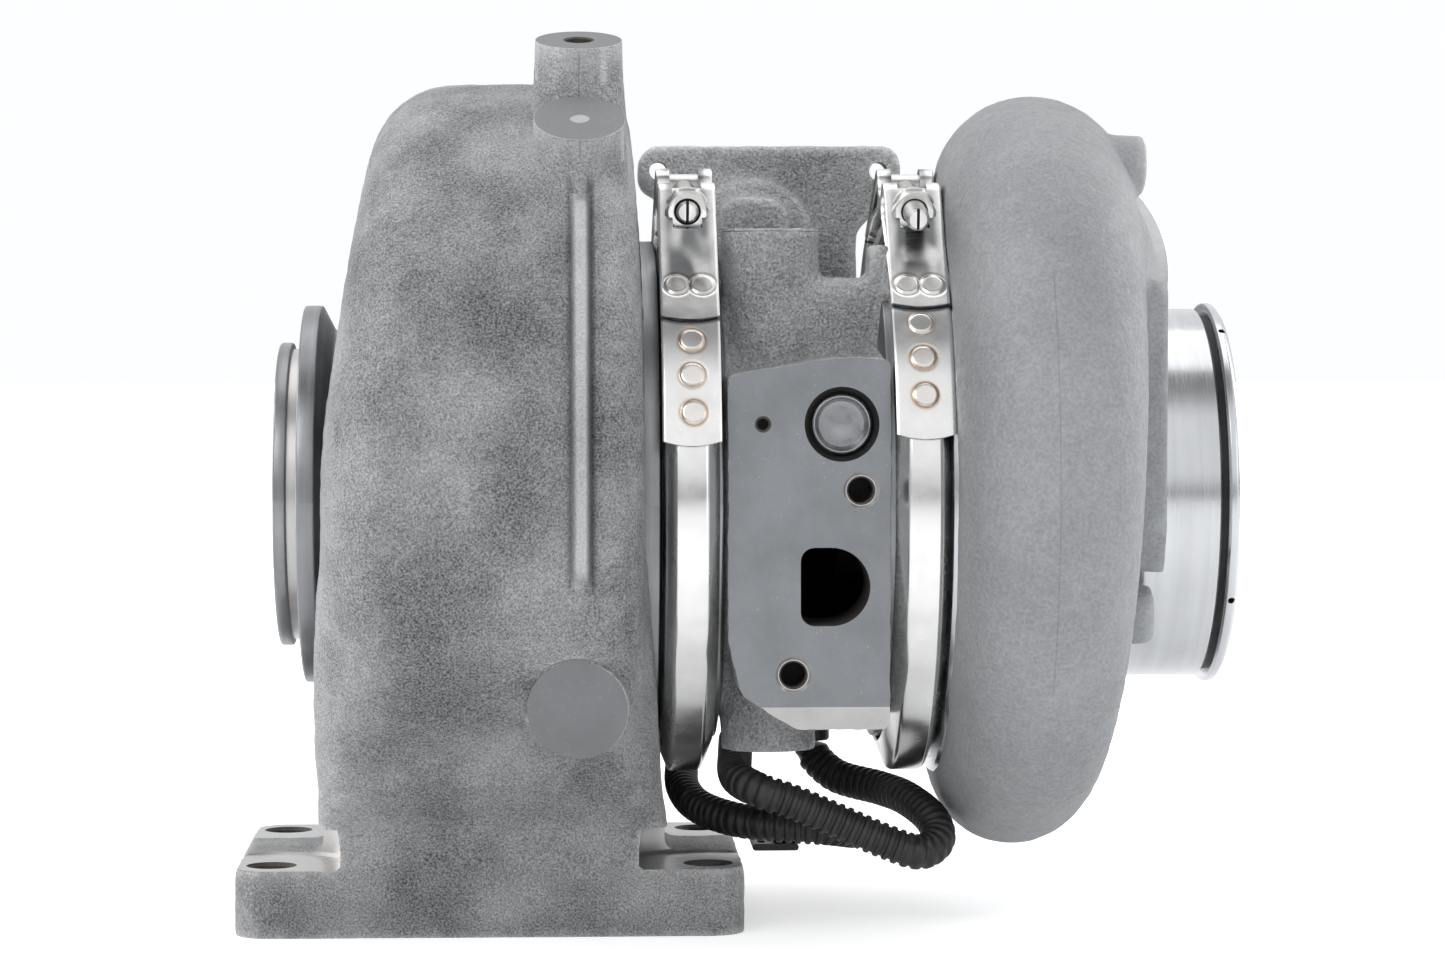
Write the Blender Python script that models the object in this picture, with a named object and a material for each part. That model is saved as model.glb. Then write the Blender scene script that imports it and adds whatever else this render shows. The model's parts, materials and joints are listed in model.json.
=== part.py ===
"""Variable geometry turbocharger for a heavy diesel engine, as an assembly of separate pieces.

The rotor axis runs along X, from the turbine at -X to the compressor at +X. The turbocharger
stands on its turbine inlet foot, and the world origin is the centre of the foot's bottom face.
The oil drain pad looks towards -Y, and the nozzle actuator's plate looks towards +Y.

Sizes in this file are millimetres. Places are measured from the rotor axis: x along it from the
foot's centre, y across it, z above it. build_mesh turns them into metres.
"""

import math

import bmesh
import bpy
from mathutils import Matrix, Vector

MM = 0.001
GAP = 0.3                       # clearance between pieces that touch

# Driving dimensions
AXIS_HEIGHT = 144.4             # rotor axis above the foot's bottom face
FOOT_LENGTH = 170.0
FOOT_DEPTH = 124.0
FOOT_THICKNESS = 23.0
FOOT_HOLE_X = 73.0
FOOT_HOLE_Y = 46.0
FOOT_HOLE_RADIUS = 7.0
OUTLET_LIP_X = -72.0            # turbine outlet face
OUTLET_LIP_RADIUS = 52.0
OUTLET_FLANGE_RADIUS = 64.7
VOLUTE_TOP = 140.0              # volute radius above, in front of and behind the rotor axis
VOLUTE_FRONT = 116.0
VOLUTE_BACK = 148.0
VOLUTE_BOTTOM = 112.0
VOLUTE_WALL = 6.5
BOSS_X = 30.0                   # the three bosses and the rib share this station
TOP_BOSSES = ((75.0, 128.0, 159.0, 14.5), (59.4, 116.0, 146.5, 15.0))  # angle, base, top, radius
POCKET_RADIUS = 28.0            # room for a bolt head beside the inlet duct
CLAMP_TURBINE_X = 66.0          # centre planes of the two V clamps
CLAMP_COMPRESSOR_X = 141.8
CLAMP_RADIUS = 95.5
STRAP_WIDTH = 18.6              # the straps welded to the clamp bands
CLAMP_OPENING = 78.0            # angle of a clamp's opening, in degrees up from -Y
BOLT_REACH = 104.0              # clamp bolt line to the rotor axis
FLANGE_RADIUS = 92.4            # V flanges inside the clamps
DRUM_RADIUS = 72.0              # bearing housing between its flanges
PAD_Y = -85.0                   # oil drain face
PLATE_Y = 74.0                  # actuator face
CROSS_X = 115.0                 # cross shaft axis, parallel to Y
CROSS_Z = 26.3
CROSS_ARM = 25.0                # cross shaft axis to fork pin
ROD_Y = 56.5                    # push rods, in front of and behind the rotor
VANE_COUNT = 14                 # vanes of the nozzle ring
SHAFT_RADIUS = 7.0
COMPRESSOR_SHAFT_RADIUS = 5.0
TURBINE_WHEEL_RADIUS = 46.5
COMPRESSOR_WHEEL_RADIUS = 50.0
SCROLL_LEFT = 151.7             # the scroll's flat side
SCROLL_WALL = 4.5
SCROLL_SIDES = 12
INLET_RADIUS = 63.5
INLET_END = 250.0
OUTLET_PIPE_X = 207.0           # compressor outlet, looking towards +Y
OUTLET_PIPE_Y = 116.0
OUTLET_PIPE_Z = 76.0
OUTLET_PIPE_RADIUS = 40.0
CONDUIT_RADIUS = 6.0
LARGE_STEPS = 24                # sides of large and of small turned pieces
SMALL_STEPS = 14


# ---------------------------------------------------------------- helpers

def clear_scene():
    for item in list(bpy.data.objects):
        bpy.data.objects.remove(item)


def make_material(name, colour, roughness, metallic):
    material = bpy.data.materials.new(name)
    material.use_nodes = True
    shader = material.node_tree.nodes["Principled BSDF"]
    shader.inputs["Base Color"].default_value = (*colour, 1.0)
    shader.inputs["Roughness"].default_value = roughness
    shader.inputs["Metallic"].default_value = metallic
    return material


def build_mesh(name, points, faces):
    """An object from points in millimetres, with its faces turned outwards."""
    mesh = bpy.data.meshes.new(name)
    mesh.from_pydata([Vector(point) * MM for point in points], [], faces)
    item = bpy.data.objects.new(name, mesh)
    bpy.context.scene.collection.objects.link(item)
    tidy_mesh(item, turn_outwards=True)
    return item


def tidy_mesh(item, turn_outwards=False):
    """Merge points that coincide, and leave no edge without a face."""
    work = bmesh.new()
    work.from_mesh(item.data)
    bmesh.ops.remove_doubles(work, verts=work.verts, dist=5e-6)
    bmesh.ops.dissolve_degenerate(work, edges=work.edges, dist=5e-6)
    loose = [edge for edge in work.edges if not edge.link_faces]
    bmesh.ops.delete(work, geom=loose, context="EDGES")
    if turn_outwards:
        bmesh.ops.recalc_face_normals(work, faces=work.faces)
    work.to_mesh(item.data)
    work.free()


def combine(target, tool, operation):
    modifier = target.modifiers.new("shape", "BOOLEAN")
    modifier.operation = operation
    modifier.object = tool
    graph = bpy.context.evaluated_depsgraph_get()
    mesh = bpy.data.meshes.new_from_object(target.evaluated_get(graph))
    target.modifiers.clear()
    target.data = mesh
    bpy.data.objects.remove(tool)
    tidy_mesh(target)


def add(target, *tools):
    for tool in tools:
        combine(target, tool, "UNION")


def cut(target, *tools):
    for tool in tools:
        combine(target, tool, "DIFFERENCE")


def finish(item, name, material, origin=(0.0, 0.0, 0.0)):
    """Name a piece, give it its material and put its origin where it belongs."""
    item.name = name
    item.data.name = name
    item.data.materials.clear()
    item.data.materials.append(material)
    item.data.transform(Matrix.Translation(Vector(origin) * -MM))
    item.location = (Vector(origin) + Vector((0.0, 0.0, AXIS_HEIGHT))) * MM
    item.data.shade_smooth()
    item.data.set_sharp_from_angle(angle=math.radians(35))
    return item


def around(x, radius, degrees):
    """A point at an angle about the rotor axis: 0 is -Y, 90 is up, 180 is +Y."""
    turn = math.radians(degrees)
    return (x, -radius * math.cos(turn), radius * math.sin(turn))


def rounded(corners, steps=2):
    """A closed outline from (a, b, corner radius) points, its corners turned into arcs."""
    outline = []
    count = len(corners)
    for index, (a, b, radius) in enumerate(corners):
        here = Vector((a, b))
        if radius == 0:
            outline.append((a, b))
            continue
        before = (Vector(corners[index - 1][:2]) - here).normalized()
        after = (Vector(corners[(index + 1) % count][:2]) - here).normalized()
        half = before.angle(after) / 2
        centre = here + (before + after).normalized() * (radius / math.sin(half))
        start = here + before * (radius / math.tan(half)) - centre
        end = here + after * (radius / math.tan(half)) - centre
        sweep = math.atan2(start.cross(end), start.dot(end))
        for step in range(steps + 1):
            turn = Matrix.Rotation(sweep * step / steps, 2)
            outline.append(tuple(centre + turn @ start))
    return outline


def loft(rings, closed=False):
    """A skin through rings of equal length; an open row of rings gets flat ends."""
    count = len(rings[0])
    points = [point for ring in rings for point in ring]
    faces = []
    last = len(rings) if closed else len(rings) - 1
    for row in range(last):
        for column in range(count):
            low = row * count
            high = (row + 1) % len(rings) * count
            beside = (column + 1) % count
            faces.append((low + column, low + beside, high + beside, high + column))
    if not closed:
        faces.append(tuple(range(count)))
        faces.append(tuple(range((len(rings) - 1) * count, len(rings) * count)))
    return build_mesh("loft", points, faces)


def turned(profile, steps=None, start=0.0, end=360.0):
    """A closed (x, radius) outline turned about the rotor axis."""
    if steps is None:
        steps = LARGE_STEPS if max(radius for _, radius in profile) > 40 else SMALL_STEPS
    whole = end - start >= 360.0
    turns = steps if whole else steps + 1
    rings = []
    for step in range(turns):
        degrees = start + (end - start) * step / steps
        rings.append([around(x, radius, degrees) for x, radius in profile])
    return loft(rings, closed=whole)


def rod(start, end, radius, sides=12, end_radius=None):
    """A round bar between two points, tapered when end_radius is given."""
    start = Vector(start)
    end = Vector(end)
    across = (end - start).normalized()
    turn = across.to_track_quat("Z", "Y")
    rings = []
    for centre, size in ((start, radius), (end, radius if end_radius is None else end_radius)):
        ring = []
        for side in range(sides):
            angle = 2 * math.pi * side / sides
            ring.append(centre + turn @ Vector((size * math.cos(angle), size * math.sin(angle), 0)))
        rings.append(ring)
    return loft(rings)


def slab(outline, low, high, axis):
    """A plate: an outline in the two other axes, between two levels along the given axis."""
    def place(a, b, level):
        return {"x": (level, a, b), "y": (a, level, b), "z": (a, b, level)}[axis]
    return loft([[place(a, b, low) for a, b in outline], [place(a, b, high) for a, b in outline]])


def box(low, high, radius=0.0, axis="z"):
    """A block with the four edges along one axis rounded."""
    first, second = {"x": (1, 2), "y": (0, 2), "z": (0, 1)}[axis]
    along = 3 - first - second
    outline = rounded([(low[first], low[second], radius), (high[first], low[second], radius),
                       (high[first], high[second], radius), (low[first], high[second], radius)])
    return slab(outline, low[along], high[along], axis)


def ring(low, high, inner, outer, steps=None):
    return turned([(low, inner), (high, inner), (high, outer), (low, outer)], steps)


def smooth_step(value):
    value = min(1.0, max(0.0, value))
    return value * value * (3 - 2 * value)


def blend_around(degrees, front, top, back, bottom):
    """A value that changes smoothly round the rotor axis, from its four quarter values."""
    quarters = (front, top, back, bottom, front)
    place = degrees % 360.0 / 90.0
    low = int(place)
    return quarters[low] + (quarters[low + 1] - quarters[low]) * smooth_step(place - low)


# ---------------------------------------------------------------- turbine end

def volute_section(degrees, inset, inner):
    """The volute's half section at an angle, inset by a wall, down to an inner radius."""
    outer = blend_around(degrees, VOLUTE_FRONT, VOLUTE_TOP, VOLUTE_BACK, VOLUTE_BOTTOM) - inset
    left = blend_around(degrees, -49.0, -38.0, -42.0, -52.0) + inset
    right = blend_around(degrees, 50.0, 46.0, 50.0, 53.0) - inset
    shoulder = left - 6.0
    return rounded([
        (-47.0 + inset, inner, 0), (shoulder, 76.0, 8), (left, outer, 26 - inset),
        (right, outer + 1, 14 - inset), (51.0 - inset, max(84.0, inner), 0), (51.0 - inset, inner, 0)])


def volute(inset, inner, steps=24):
    rings = []
    for step in range(steps):
        degrees = 360.0 * step / steps
        rings.append([around(x, r, degrees) for x, r in volute_section(degrees, inset, inner)])
    return loft(rings, closed=True)


def duct_ring(z, left, right, front, back, radius):
    outline = rounded([(left, front, radius), (right, front, radius),
                       (right, back, radius), (left, back, radius)])
    return [(x, y, z) for x, y in outline]


def inlet_duct():
    return loft([
        duct_ring(-127, -56, 58, -61, 61, 4), duct_ring(-110, -56, 58, -62.5, 65, 5),
        duct_ring(-98, -57, 57, -71, 86, 16), duct_ring(-75, -58, 56, -84, 112, 22),
        duct_ring(-45, -57, 54, -99, 132, 26), duct_ring(-15, -54, 52, -108, 140, 28),
        duct_ring(20, -44, 48, -104, 134, 28)])


def inlet_passage(left, right):
    return loft([
        duct_ring(-150, left, right, -38, 38, 8), duct_ring(-104, left, right, -40, 42, 8),
        duct_ring(-84, left, right, -58, 70, 8), duct_ring(-66, left, right, -64, 92, 8)])


def build_turbine_housing(material):
    body = volute(0.0, 40.0)
    foot = box((-FOOT_LENGTH / 2, -FOOT_DEPTH / 2, -AXIS_HEIGHT),
               (FOOT_LENGTH / 2, FOOT_DEPTH / 2, FOOT_THICKNESS - AXIS_HEIGHT), 12)
    add(body, inlet_duct(), foot)
    add(body, turned([
        (OUTLET_LIP_X, 30), (OUTLET_LIP_X, OUTLET_LIP_RADIUS - 2), (-70.5, OUTLET_LIP_RADIUS),
        (-67.5, OUTLET_LIP_RADIUS), (-67.5, 49.5), (-63.5, 49.5), (-63.5, OUTLET_FLANGE_RADIUS),
        (-57.5, OUTLET_FLANGE_RADIUS), (-53, 56), (-40, 56), (-40, 30)]))
    add(body, turned([
        (44, 41), (44, 87), (55.8, 87), (56.3, 84), (58.8, 84), (62.2, FLANGE_RADIUS),
        (66, FLANGE_RADIUS), (66, 41)]))
    for degrees, base, top, wide in TOP_BOSSES:
        add(body, rod(around(BOSS_X, base, degrees), around(BOSS_X, top, degrees),
                      wide + 1.5, 20, wide))
    add(body, rod((BOSS_X - 0.5, -78, -62), (BOSS_X - 1.0, -98.5, -64.5), 17.5, 20, 16))
    rib_rings = []
    for step in range(11):
        degrees = -11 + 6.4 * step
        level = blend_around(degrees, VOLUTE_FRONT, VOLUTE_TOP, VOLUTE_BACK, VOLUTE_BOTTOM)
        rib_rings.append([around(BOSS_X + side, level + lift, degrees)
                          for side, lift in ((-2.4, -12), (2.4, -12), (2.2, 4), (-2.2, 4))])
    add(body, loft(rib_rings))
    for side in (-1, 1):
        for face in (-1, 1):
            centre = (side * FOOT_HOLE_X, face * FOOT_HOLE_Y)
            cut(body, rod((*centre, 0.4 + FOOT_THICKNESS - AXIS_HEIGHT), (*centre, -108), POCKET_RADIUS, 32))
            cut(body, rod((*centre, -150), (*centre, -110), FOOT_HOLE_RADIUS, 20))
    cut(body, rod(around(BOSS_X, 145, 75), around(BOSS_X, 170, 75), 4.6, 10))
    cut(body, turned([
        (-80, 0), (-80, 47), (-40, 45), (-4, 42), (10, 42.6), (20, 45), (22, 47.2), (22, 68.4),
        (26.9, 68.4), (26.9, 76), (43.5, 76), (43.5, 70.4),
        (58.7, 70.4), (58.7, 80), (70, 80), (70, 0)]))
    cut(body, turned([(8, 50.5), (23, 50.5), (23, 63.5), (8, 63.5)]))
    cut(body, rod(around(62.1, 86, 200), around(70.1, 86, 200), 2.5, 8))
    cut(body, volute(VOLUTE_WALL, 71.5, 16))
    cut(body, inlet_passage(-44, -4), inlet_passage(4, 44))
    return finish(body, "turbine_housing", material)


def vane(start, end, index, swell=0.0):
    """One nozzle vane as a prism along X: a slim lens set tangent to the flow."""
    middle = 360.0 / VANE_COUNT * index + 360.0 / VANE_COUNT / 2
    half_length = 6.6 + swell
    half_width = 1.5 + swell
    centre = Vector(around(0, 57, middle))
    radial = centre.normalized()
    tangent = Vector((1, 0, 0)).cross(radial)
    chord = (tangent * 0.86 - radial * 0.5).normalized()
    normal = Vector((1, 0, 0)).cross(chord)
    shape = ((-1, 0), (-0.55, 0.75), (0.15, 1), (1, 0), (0.15, -1), (-0.55, -0.75))
    rings = []
    for x in (start, end):
        rings.append([centre + Vector((x, 0, 0)) + chord * a * half_length + normal * b * half_width
                      for a, b in shape])
    return loft(rings)


def build_nozzle_ring(material):
    body = turned([(38, 48), (54, 48), (54, 49.8), (42, 49.8), (42, 63.4), (54, 63.4), (54, 65),
                   (38, 65)])
    for index in range(VANE_COUNT):
        add(body, vane(17, 38.6, index))
    for y in (-ROD_Y, ROD_Y):
        add(body, rod((40, y, 0), (46, y, 0), 3.6, 8))
        cut(body, rod((42.5, y, 0), (47, y, 0), 2.4, 8))
    return finish(body, "nozzle_ring", material)


def build_shroud_plate(material):
    body = ring(22.3, 26.3, 47.8, 68.0)
    for index in range(VANE_COUNT):
        cut(body, vane(20, 28, index, 0.45))
    return finish(body, "shroud_plate", material)


def build_push_rods(material):
    for name, side in (("push_rod_front", -1), ("push_rod_rear", 1)):
        y = side * ROD_Y
        body = rod((46.5, y, 0), (120, y, 0), 5, 14)
        add(body, rod((43, y, 0), (47, y, 0), 2.0, 8))
        low, high = sorted((side * 40, side * 55.1))
        cut(body, box((CROSS_X - 2.95, low, -8), (CROSS_X + 2.95, high, 8)))
        finish(body, name, material)


def blade(profile, count, index, lean, thick):
    """One wheel blade from (x, hub radius, tip radius, twist) stations.

    Both sides are split along the same diagonals, so that a twisted blade keeps its thickness.
    """
    start = 360.0 / count * index
    points = []
    for x, low, high, twist in profile:
        for radius, part, side in ((low, 0, -1), (high, 1, -1), (high, 1, 1), (low, 0, 1)):
            width = thick * (1.25 - 0.55 * part)
            degrees = start + twist + lean * part + side * math.degrees(width / 2 / radius)
            points.append(around(x, radius, degrees))
    faces = [(0, 1, 2), (0, 2, 3)]
    for row in range(0, len(points) - 4, 4):
        hub, tip, far_tip, far_hub = row, row + 1, row + 2, row + 3
        faces += [(hub, tip + 4, tip), (hub, hub + 4, tip + 4)]
        faces += [(far_hub, far_tip, far_tip + 4), (far_hub, far_tip + 4, far_hub + 4)]
        faces += [(tip, tip + 4, far_tip + 4), (tip, far_tip + 4, far_tip)]
        faces += [(hub, far_hub, far_hub + 4), (hub, far_hub + 4, hub + 4)]
    end = len(points) - 4
    faces += [(end, end + 2, end + 1), (end, end + 3, end + 2)]
    return build_mesh("blade", points, faces)


def build_turbine_wheel(material):
    seal_groove = [(54, 10.6), (54, 9), (56.4, 9), (56.4, 10.6)]
    body = turned([
        (-14, 0), (-14, 7), (-11, 9), (10, 14), (24, 22), (36, 34), (41, 41), (44, 41),
        (46, 14), (46.5, 10.6), *seal_groove, (62, 10.6), (64, SHAFT_RADIUS),
        (124, SHAFT_RADIUS), (124.5, COMPRESSOR_SHAFT_RADIUS), (214, COMPRESSOR_SHAFT_RADIUS),
        (215, 4.2), (215, 0)])
    count = 11
    stations = [(-3, 8.5, 41, -34), (8, 11.5, 41.4, -15), (20, 17.5, 43.4, -3),
                (28, 24, TURBINE_WHEEL_RADIUS, 0), (42.5, 38, TURBINE_WHEEL_RADIUS, 0)]
    for index in range(count):
        add(body, blade(stations, count, index, 3, 2.2))
    return finish(body, "turbine_wheel_and_shaft", material)


def build_turbine_fittings(steel, gasket):
    finish(ring(54.4, 56.0, 9.4, 11.7), "turbine_seal_ring", steel)
    shield = turned([(47.3, 13), (48.6, 13), (48.6, 45.8), (57.4, 45.8), (57.4, 47.2), (47.3, 47.2)])
    finish(shield, "heat_shield", steel)
    finish(ring(59.0, 61.0, 71.2, 78.5), "flange_gasket", gasket)
    finish(ring(27.2, 28.6, 66.4, 75.0), "shroud_retaining_ring", steel)
    finish(rod(around(62.6, 86, 200), around(69.6, 86, 200), 2.0, 8), "locating_dowel", steel)


# ---------------------------------------------------------------- bearing housing

def pad_outline():
    return rounded([(78, 42, 2), (112, 47.8, 0), (131, 47.8, 0), (131, -73.7, 0),
                    (100.3, -73.7, 0), (82, -62, 6), (78, -44, 8)])


def plate_outline():
    """The actuator plate: wide above the clamps, with a hole in each ear, and narrow between them."""
    return rounded([(52.5, 122, 7), (147, 122, 7), (147, 106, 6), (131, 92, 6), (131, -20, 6),
                    (78.5, -20, 6), (78.5, 92, 6), (52.5, 106, 6)])


def build_bearing_housing(material):
    body = turned([
        (49, 4), (49, 45.2), (62, 45.2), (62, 66.6), (49, 66.6), (49, 70.0), (61.3, 70.0),
        (61.3, 79.5), (66.3, 79.5), (66.3, FLANGE_RADIUS), (69.8, FLANGE_RADIUS), (73, 84),
        (76.5, 84), (79, DRUM_RADIUS), (128, DRUM_RADIUS), (130.5, 84), (135, 84),
        (138, FLANGE_RADIUS), (141.6, FLANGE_RADIUS), (141.6, 4)])
    add(body, slab(pad_outline(), PAD_Y, -8, "y"))
    add(body, slab(plate_outline(), PLATE_Y - 13, PLATE_Y, "y"))
    add(body, rod((94, -40, 30), (94, -40, 90.4), 17.2, 20, 16.2))
    add(body, rod((94, -30, -40), (94, -30, -85), 17, 20, 16))
    add(body, box((94, -52, 30), (132, -28, 74), 4, "x"))
    add(body, box((79, 44, 76), (106, 66, 103), 7, "y"))
    add(body, rod((113, 25, -50), (113, 25, -78), 11, 16))
    chamber = turned([(86, 17.5), (118, 17.5), (118, 30), (127, 30), (127, 63), (86, 63)], 20)
    cut(body, chamber)
    cut(body, rod((CROSS_X, -45, CROSS_Z), (CROSS_X, 45, CROSS_Z), 7.5))
    cut(body, turned([
        (40, 0), (40, 12.0), (64.5, 12.0), (64.5, 10.2), (70, 10.2), (70, 11.6), (88.2, 11.6),
        (88.2, 8.6), (107, 8.6), (107, 11.6), (126, 11.6), (126, 27), (133, 27), (133, 0)]))
    cut(body, turned([(132, 0), (132, 44), (137.5, 44), (137.5, 52), (150, 52), (150, 0)]))
    for y in (-ROD_Y, ROD_Y):
        cut(body, rod((50, y, 0), (90, y, 0), 5.35, 16))
    drain = rounded([(101.6, -13.9, 2), (113, -13.9, 9), (124.3, -20, 9), (124.3, -33, 9),
                     (113, -39.5, 9), (101.6, -39.5, 2)])
    cut(body, slab(drain, -95, -44, "y"))
    for x, z, radius, depth in ((121.3, 4.7, 4.25, 20), (99.3, -55.5, 4.25, 20),
                                (89.3, CROSS_Z, 2.45, 10)):
        cut(body, rod((x, PAD_Y - 5, z), (x, PAD_Y + depth, z), radius, 14))
    for x in (59.5, 138.7):
        cut(body, rod((x, 40, 113), (x, 90, 113), 3.3, 12))
    cut(body, rod((CROSS_X, PAD_Y - 5, CROSS_Z), (CROSS_X, PAD_Y + 6, CROSS_Z), 10.3, 20))
    cut(body, rod((CROSS_X, PAD_Y + 5, CROSS_Z), (CROSS_X, -40, CROSS_Z), 9.2, 14))
    cut(body, rod((CROSS_X, 40, CROSS_Z), (CROSS_X, 90, CROSS_Z), 9.2, 14))
    cut(body, rod((94, -40, 58), (94, -40, 100), 8, 16))
    cut(body, rod((94, -30, -66), (94, -30, -95), 8, 16))
    cut(body, rod((113, 25, -56), (113, 25, -90), 6.3, 14))
    cut(body, rod(around(64, 86, 200), around(70.1, 86, 200), 2.5, 8))
    for index in range(4):
        place = around(0, 62, 45 + 90 * index)
        cut(body, rod((131, *place[1:]), (150, *place[1:]), 2.9, 8))
    for index in range(3):
        place = around(0, 21.5, 30 + 120 * index)
        cut(body, rod((118.5, *place[1:]), (127, *place[1:]), 2.0, 6))
    return finish(body, "bearing_housing", material)


def build_rotor_bearings(bronze, steel):
    for name, low in (("journal_bearing_turbine", 73), ("journal_bearing_compressor", 110)):
        body = ring(low, low + 13, SHAFT_RADIUS + 0.35, 11.2)
        for index in range(4):
            way = 45 + 90 * index
            cut(body, rod(around(low + 6.5, 5, way), around(low + 6.5, 14, way), 1.1, 6))
        finish(body, name, bronze)
    for name, low in (("bearing_stop_ring_turbine", 71.2), ("bearing_stop_ring_compressor", 108.2)):
        body = ring(low, low + 1.2, 8.2, 11.25)
        cut(body, box((low - 2, -3, 6), (low + 4, 3, 14)))
        finish(body, name, steel)


def build_thrust_parts(bronze, steel, plate_steel):
    collar = turned([(124.9, 5.3), (131.4, 5.3), (131.4, 8.6), (130.6, 8.6), (130.6, 11.5),
                     (130.0, 11.5), (130.0, 8.3), (126.3, 8.3), (126.3, 11.2), (124.9, 11.2)])
    finish(collar, "thrust_collar", steel)
    bearing = ring(126.6, 129.7, 8.7, 26.6)
    for index in range(3):
        place = around(0, 21.5, 30 + 120 * index)
        cut(bearing, rod((120, *place[1:]), (132, *place[1:]), 2.0, 8))
        pocket = around(0, 12, 90 + 120 * index)
        cut(bearing, rod((128.9, *pocket[1:]), (131, *pocket[1:]), 1.8, 8))
    finish(bearing, "thrust_bearing", bronze)
    for index in range(3):
        place = around(0, 21.5, 30 + 120 * index)
        screw = rod((119.6, *place[1:]), (130.4, *place[1:]), 1.4, 6)
        add(screw, rod((130.1, *place[1:]), (131.9, *place[1:]), 2.8, 8))
        finish(screw, f"thrust_bearing_screw_{index + 1}", steel)
    slinger = turned([(131.8, 5.3), (152.4, 5.3), (152.4, 10.5), (147.4, 10.5), (147.4, 8.9),
                      (145, 8.9), (145, 10.5), (137, 10.5), (136, 15.5), (134.6, 15.5),
                      (133.8, 10), (131.8, 9)])
    finish(slinger, "oil_slinger", steel)
    finish(ring(145.4, 147.0, 9.3, 11.6), "compressor_seal_ring", steel)
    baffle = turned([(132.4, 16.5), (133.2, 16.5), (133.2, 40), (136.6, 41), (136.6, 43.5),
                     (135.8, 43.5), (135.8, 42), (132.4, 41)])
    finish(baffle, "oil_baffle", plate_steel)


def build_back_plate(aluminium, rubber, steel):
    body = turned([
        (141.9, 80), (145.8, 80), (145.8, 77.6), (149, 77.6), (149, 80), (157, 80),
        (157, 54), (154.4, 50), (154.2, 20), (152, 14), (152, 12), (137.9, 12), (137.9, 51.6),
        (141.9, 51.6)])
    for index in range(4):
        place = around(0, 62, 45 + 90 * index)
        cut(body, rod((130, *place[1:]), (160, *place[1:]), 2.9, 8))
        cut(body, rod((152.0, *place[1:]), (160, *place[1:]), 5.0, 10))
        bolt = rod((131.6, *place[1:]), (152.6, *place[1:]), 2.4, 8)
        add(bolt, rod((152.3, *place[1:]), (156.2, *place[1:]), 4.2, 6))
        finish(bolt, f"back_plate_bolt_{index + 1}", steel)
    finish(body, "compressor_back_plate", aluminium)
    finish(ring(146.2, 148.6, 78.0, 80.1), "back_plate_o_ring", rubber)


# ---------------------------------------------------------------- nozzle linkage

def build_cross_shaft(steel, bronze, seal_rubber):
    origin = (CROSS_X, 0, CROSS_Z)
    shaft = rod((CROSS_X, -76, CROSS_Z), (CROSS_X, 88, CROSS_Z), 6.5, 14)
    finish(shaft, "cross_shaft", steel, origin)
    for name, side in (("fork_arm_front", -1), ("fork_arm_rear", 1)):
        low, high = sorted((side * 41.5, side * 47.5))
        arm = rod((CROSS_X, low, CROSS_Z), (CROSS_X, high, CROSS_Z), 10, 14)
        tip = CROSS_Z - CROSS_ARM
        add(arm, slab([(CROSS_X - 8, CROSS_Z), (CROSS_X + 8, CROSS_Z), (CROSS_X + 4.5, tip - 4),
                       (CROSS_X - 4.5, tip - 4)], low + 0.2, high - 0.2, "y"))
        add(arm, rod((CROSS_X, side * 46, tip), (CROSS_X, side * 54.5, tip), 2.5, 10))
        cut(arm, rod((CROSS_X, -80, CROSS_Z), (CROSS_X, 80, CROSS_Z), 6.5 + GAP, 14))
        finish(arm, name, steel, origin)
    for name, low, high in (("cross_shaft_bush_front", -75, -58), ("cross_shaft_bush_rear", 58, 68)):
        bush = rod((CROSS_X, low, CROSS_Z), (CROSS_X, high, CROSS_Z), 8.9, 14)
        cut(bush, rod((CROSS_X, low - 2, CROSS_Z), (CROSS_X, high + 2, CROSS_Z), 6.5 + GAP, 14))
        finish(bush, name, bronze)
    seal = rod((CROSS_X, 68.5, CROSS_Z), (CROSS_X, 73, CROSS_Z), 8.9, 14)
    cut(seal, rod((CROSS_X, 60, CROSS_Z), (CROSS_X, 77, CROSS_Z), 6.5 + GAP, 14))
    finish(seal, "cross_shaft_seal", seal_rubber)
    build_sector_gear(steel, origin)


def build_sector_gear(steel, origin):
    """A toothed sector on the shaft's rear end, which the actuator's pinion drives."""
    teeth = 5
    pitch = 10.0
    root = 22.5
    tip = 26.0
    outline = [(-9, 0), (-9, -4), (9, -4), (9, 0)]
    start = 90 - teeth * pitch / 2
    for tooth in range(teeth):
        for share, radius in ((0.1, root), (0.35, tip), (0.65, tip), (0.9, root)):
            way = math.radians(start + (tooth + share) * pitch)
            outline.append((radius * math.cos(way), radius * math.sin(way)))
    shape = [(CROSS_X + a, CROSS_Z + b) for a, b in outline]
    gear = slab(shape, 78, 85, "y")
    add(gear, rod((CROSS_X, 76.5, CROSS_Z), (CROSS_X, 86, CROSS_Z), 11, 14))
    cut(gear, rod((CROSS_X, 60, CROSS_Z), (CROSS_X, 90, CROSS_Z), 6.5 + GAP, 14))
    finish(gear, "sector_gear", steel, origin)


def build_core_plug(steel):
    """A pressed cup that closes the cross shaft's bore in the drain pad."""
    plug = rod((CROSS_X, PAD_Y + 1.6, CROSS_Z), (CROSS_X, PAD_Y + 5.6, CROSS_Z), 9.8, 24)
    cut(plug, rod((CROSS_X, PAD_Y, CROSS_Z), (CROSS_X, PAD_Y + 3.2, CROSS_Z), 8.6, 24, 7.8))
    finish(plug, "core_plug", steel)


# ---------------------------------------------------------------- compressor end

def scroll_radius(degrees):
    """The scroll grows from its tongue behind the top, round by the bottom and front, to the top."""
    share = (degrees - 115.0) % 360.0 / 335.0
    return 15.0 + 19.0 * min(1.0, share) ** 0.75


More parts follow.
